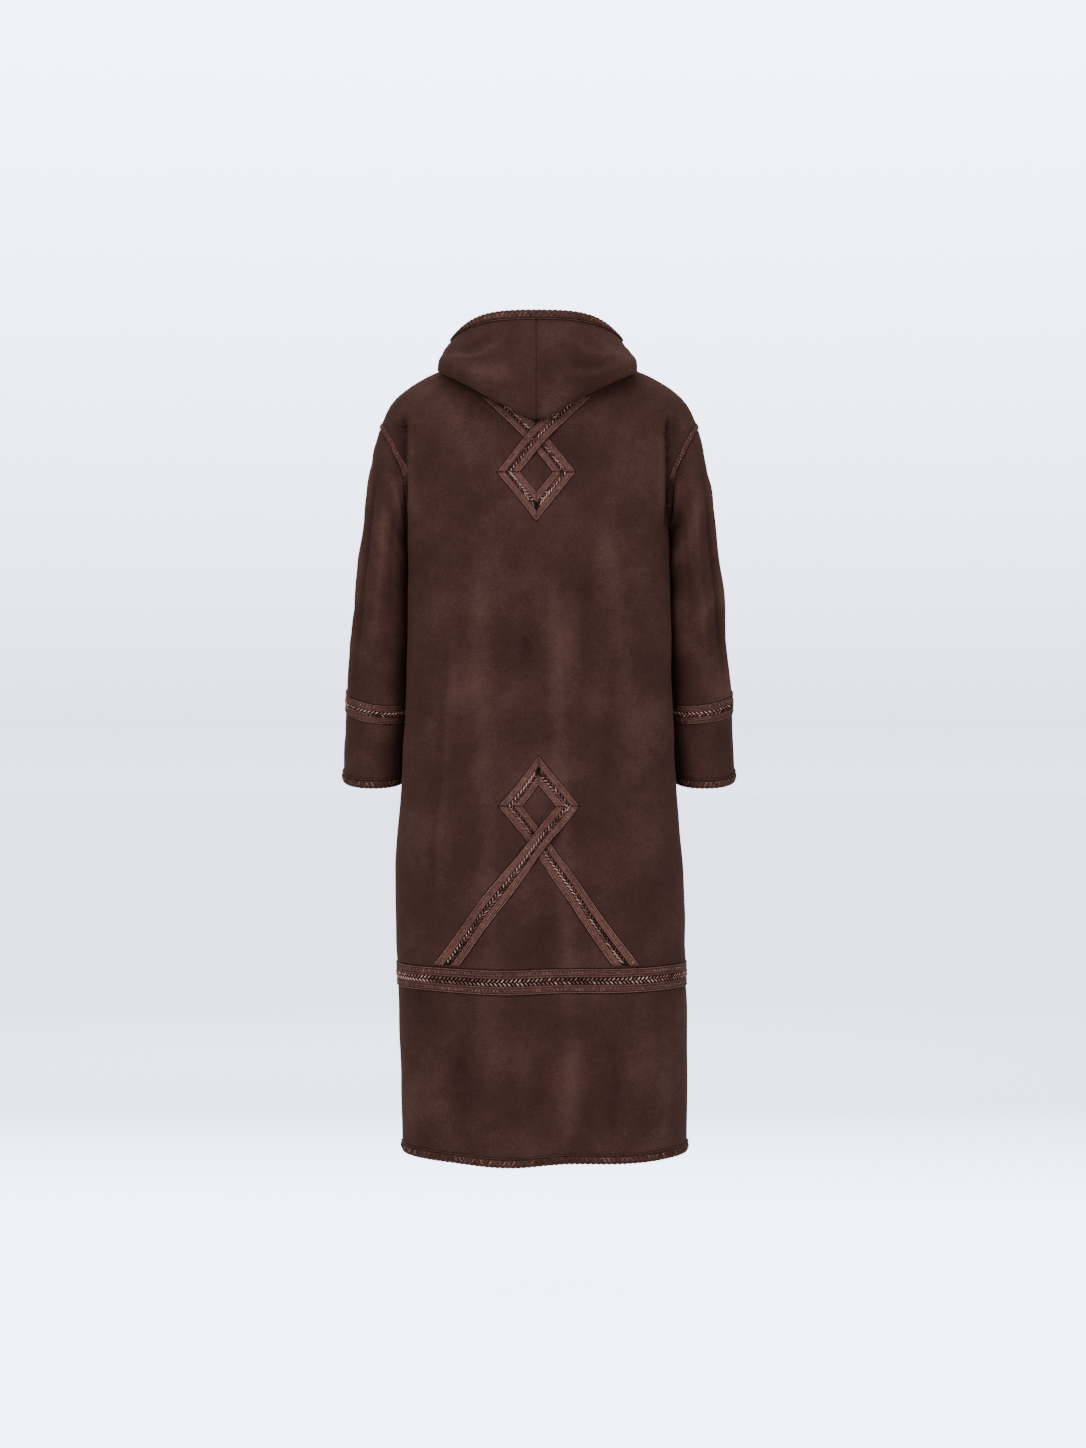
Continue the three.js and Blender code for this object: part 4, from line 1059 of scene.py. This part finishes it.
def sleeve_round(surface, along):
    """A path round a sleeve, and the sleeve's length in millimetres at each turn."""
    length, turn = path_lookup(lambda t: surface(t, along + 0 * t), 0, 360)
    unit = lambda t: np.linalg.norm(surface(t, 1 + 0 * t) - surface(t, 0.8 + 0 * t), axis=-1) / 0.2
    return length, turn, unit


def cuff_binding(surface, side, hand):
    length, turn, unit = sleeve_round(surface, 1.0)
    to_uv = lambda s, inward: (turn(s), 0.9985 - inward / unit(turn(s)))
    place = folded_over(laid(surface, 1.0, 0.0012, to_uv, -side))
    binding_piece(f"cuff_braid_{hand}", f"cuff_binding_{hand}", place, length, True)


def sleeve_band(surface, side, hand):
    middle = 0.812
    length, turn, unit = sleeve_round(surface, middle)
    to_uv = lambda s, across: (turn(s), middle + across / unit(turn(s)))
    place = laid(surface, 1.0, 0.004, to_uv, -side)
    plait = (4.0, 6.0, 6.6, (0.36, 0.2), 1.15)
    strap_piece(f"sleeve_strap_{hand}", f"sleeve_band_{hand}", place, length, True, 33, plait, 0.04, 0.16)


def armhole_tape(side, hand):
    def edge(turn, distance):
        degrees, level = beside_armhole(turn, distance)
        return (degrees if side > 0 else 180 - degrees), level

    length, turn = path_lookup(lambda t: body_surface(*edge(t, 7.0)), 0, 360)
    place = laid(*BODY_PLACE, lambda s, across: edge(turn(s), 7.0 + across))
    parts = Parts()
    add_band(parts, place, length, True, 7.4, TAPE_SECTION, 0.02, 4.0)
    for across in (-2.0, 2.0):
        add_stitches(parts, place, length, True, across, 5.2, 3.2, 0.5, 1.25, 0.3)
    # Lower down the tape turns under the fold beside the sleeve, and there it is painted darker as the fold's
    # shade.
    below = [0.3 * smooth((-205 - points[:, 2]) / 25) for points in parts.points]
    parts.tones = [tone - dark for tone, dark in zip(parts.tones, below)]
    parts.piece(f"armhole_trim_{hand}", f"armhole_tape_{hand}")


def motif_strap(name, node, corners, crossing):
    """A strap along corners in the plane of the back, mitred at each, level at its start and upright at its
    end. Its first leg widens a little to the free end."""
    corners = np.array(corners, float)
    legs = np.diff(corners, axis=0)
    lengths = np.hypot(legs[:, 0], legs[:, 1])
    run = np.concatenate([[0], np.cumsum(lengths)])
    sides = np.stack([-legs[:, 1], legs[:, 0]], -1) / lengths[:, None]
    before = np.vstack([sides[:1] * [1, -1], sides])
    after = np.vstack([sides, sides[-1:] * [-1, 1]])
    mitres = before + after
    scale = np.einsum("ij,ij->i", mitres, np.vstack([sides, sides[-1:]]))
    mitres = mitres / scale[:, None]

    def along(s, values):
        return np.stack([np.interp(s, run, values[:, k]) for k in range(2)], -1)

    def place(s, across, up):
        s, across, up = together(s, across, up)
        across = across * (1 + LEG_WIDER * smooth((run[1] - s - 10) / 120))
        middle = along(s, corners)
        flat = middle + along(s, mitres) * across[..., None]
        x, z = flat[..., 0], flat[..., 1]
        row = look_up(BODY, z)
        y = row["back"] * (1 - np.abs(x / row["half"]) ** row["square"]) ** (1 / row["square"])
        degrees = np.degrees(np.arctan2(y, x))
        if crossing is not None:
            away = np.hypot(*np.moveaxis(middle - np.array(crossing), -1, 0))
            up = up + OVER_RISE * (1 - smooth((away - 24) / 22))
        return body_surface(degrees, z) + normals_of(body_surface, degrees, z, 0.4, 1.0) * up[..., None]

    plait = (3.3, 6.8, 6.8, (0.42, 0.18), 1.1)
    strap_piece(name, node, place, run[-1], False, 30, plait, 0.1, 0.14, run[2])


def motif(name, middle, half_width, half_height, upwards, over_end, under_end):
    """Two straps: each starts at its free end, crosses the other and bends round half a diamond."""
    x, z = middle
    crossing = (x, z + upwards * half_height)
    for part, end, climbs in (("over", over_end, crossing), ("under", under_end, None)):
        side = np.sign(end[0])
        far = (x - side * half_width, z)
        tip = (x - side * 0.15, z - upwards * half_height)
        motif_strap(f"{name}_strap_{part}", f"{name}_motif_{part}", [end, crossing, far, tip], climbs)


# --- the robe ---

SLEEVE_LEFT = sleeve_on(SLEEVE_CREASES, 37, 1)
SLEEVE_RIGHT = sleeve_on(SLEEVE_CREASES_RIGHT, 41, -1)
HOOD_LEFT = hood_on(HOOD_CREASES, 51)
HOOD_RIGHT = hood_on(HOOD_CREASES_RIGHT, 57)

back = body_panel("back_cloth", "back", back_sides, 124, 560, 71)
front_left = body_panel("front_cloth_left", "front_left", front_sides, 56, 270, 72, (0, 1))
front_right = body_panel("front_cloth_right", "front_right", mirrored(front_sides), 56, 270, 73, (1, 0))
sleeve_left = sleeve_panel("sleeve_cloth_left", "sleeve_left", SLEEVE_LEFT, 1, 74)
sleeve_right = sleeve_panel("sleeve_cloth_right", "sleeve_right", SLEEVE_RIGHT, -1, 75)
hood_left = hood_panel("hood_cloth_left", "hood_left", HOOD_LEFT, 1, 76)
hood_right = hood_panel("hood_cloth_right", "hood_right", HOOD_RIGHT, -1, 77)
skirt_band()
hem_binding()
hood_rim()
for side, hand, sleeve in ((1, "left", SLEEVE_LEFT), (-1, "right", SLEEVE_RIGHT)):
    front_binding(side, hand)
    cuff_binding(sleeve, side, hand)
    sleeve_band(sleeve, side, hand)
    armhole_tape(side, hand)
motif("upper", (4, -209), 44.5, 55.5, 1, (-62, -86), (69, -87))
motif("lower", (0, -741), 45.5, 57, -1, (152, -994.5), (-134, -994.5))

# --- the room ---


def lit_floor():
    """A pale floor that glows for the eye alone, brighter near the robe than far behind it."""
    material, nodes, shader = new_material("pale_floor")
    set_inputs(shader, {"Base Color": (0.80, 0.82, 0.86, 1), "Roughness": 0.8})
    set_inputs(shader, {"Specular IOR Level": 0.1, "Emission Color": SEEN_TINT})
    place = nodes.add("ShaderNodeTexCoord").outputs["Object"]
    towards = nodes.add("ShaderNodeSeparateXYZ", {0: place}).outputs["Y"]
    near = nodes.math("MULTIPLY_ADD", towards, 0.6, 1.6, clamp=True)
    glow = nodes.math("MULTIPLY_ADD", near, FLOOR_NEAR - FLOOR_FAR, FLOOR_FAR)
    seen = nodes.add("ShaderNodeLightPath").outputs["Is Camera Ray"]
    material.node_tree.links.new(nodes.math("MULTIPLY", seen, glow), shader.inputs["Emission Strength"])
    return material


def pale_world():
    """An even pale light, and for the eye a backdrop that is brighter high up than at the horizon."""
    world = bpy.data.worlds.new("pale_room")
    bpy.context.scene.world = world
    world.use_nodes = True
    nodes = Nodes(world.node_tree)
    direction = nodes.add("ShaderNodeTexCoord").outputs["Generated"]
    upward = nodes.add("ShaderNodeSeparateXYZ", {0: direction}).outputs["Z"]
    rise = nodes.math("MULTIPLY", nodes.math("ABSOLUTE", upward), 4.5, clamp=True)
    glow = nodes.math("MULTIPLY_ADD", rise, BACKDROP_HIGH - BACKDROP_LOW, BACKDROP_LOW)
    backdrop = nodes.add("ShaderNodeBackground", {"Color": SEEN_TINT, "Strength": glow}).outputs[0]
    room = world.node_tree.nodes["Background"]
    set_inputs(room, {"Color": (0.93, 0.955, 1, 1), "Strength": ROOM_LIGHT})
    seen = nodes.add("ShaderNodeLightPath").outputs["Is Camera Ray"]
    both = nodes.add("ShaderNodeMixShader", {0: seen, 1: room.outputs[0], 2: backdrop})
    world.node_tree.links.new(both.outputs[0], world.node_tree.nodes["World Output"].inputs["Surface"])


def soft_light(name, place, aim, size, power, colour):
    lamp = bpy.data.lights.new(name, "AREA")
    lamp.energy, lamp.size, lamp.color = power, size, colour
    thing = placed(name, lamp)
    thing.location = place
    towards = np.array(aim, float) - np.array(place, float)
    thing.rotation_euler = mathutils.Vector(towards).to_track_quat("-Z", "Y").to_euler()


FLOOR_Z, FLOOR_NEAR, FLOOR_FAR = -1.541, 6.4, 2.9
BACKDROP_LOW, BACKDROP_HIGH, ROOM_LIGHT = 3.3, 8.5, 0.5
SEEN_TINT = (0.74, 0.80, 1.0, 1)
FLOOR_REACH = 40.0
floor_mesh = bpy.data.meshes.new("floor")
corners = [(x * FLOOR_REACH, y * FLOOR_REACH, FLOOR_Z) for x, y in ((-1, -1), (1, -1), (1, 1), (-1, 1))]
floor_mesh.from_pydata(corners, [], [(0, 1, 2, 3)])
floor_mesh.materials.append(lit_floor())
placed("floor", floor_mesh)

pale_world()
soft_light("key", (2.2, 4.6, 1.5), (0, 0, -0.55), 2.6, 95, (1, 0.985, 0.96))
soft_light("fill", (-2.8, 4.2, 0.3), (0, 0, -0.6), 3.0, 50, (0.97, 0.985, 1))
soft_light("top", (0, 0.8, 2.6), (0, 0, -0.4), 2.4, 38, (1, 1, 1))
soft_light("front", (0.8, -4.6, 1.2), (0, 0, -0.6), 3.0, 95, (1, 0.99, 0.97))

lens = bpy.data.cameras.new("camera")
lens.sensor_fit, lens.sensor_height, lens.lens = "VERTICAL", 36.0, 83.8
camera = placed("camera", lens)
camera.location = (-0.0065, 5.5, -0.610)
camera.rotation_euler = (math.radians(90), 0, math.radians(180))
bpy.context.scene.camera = camera
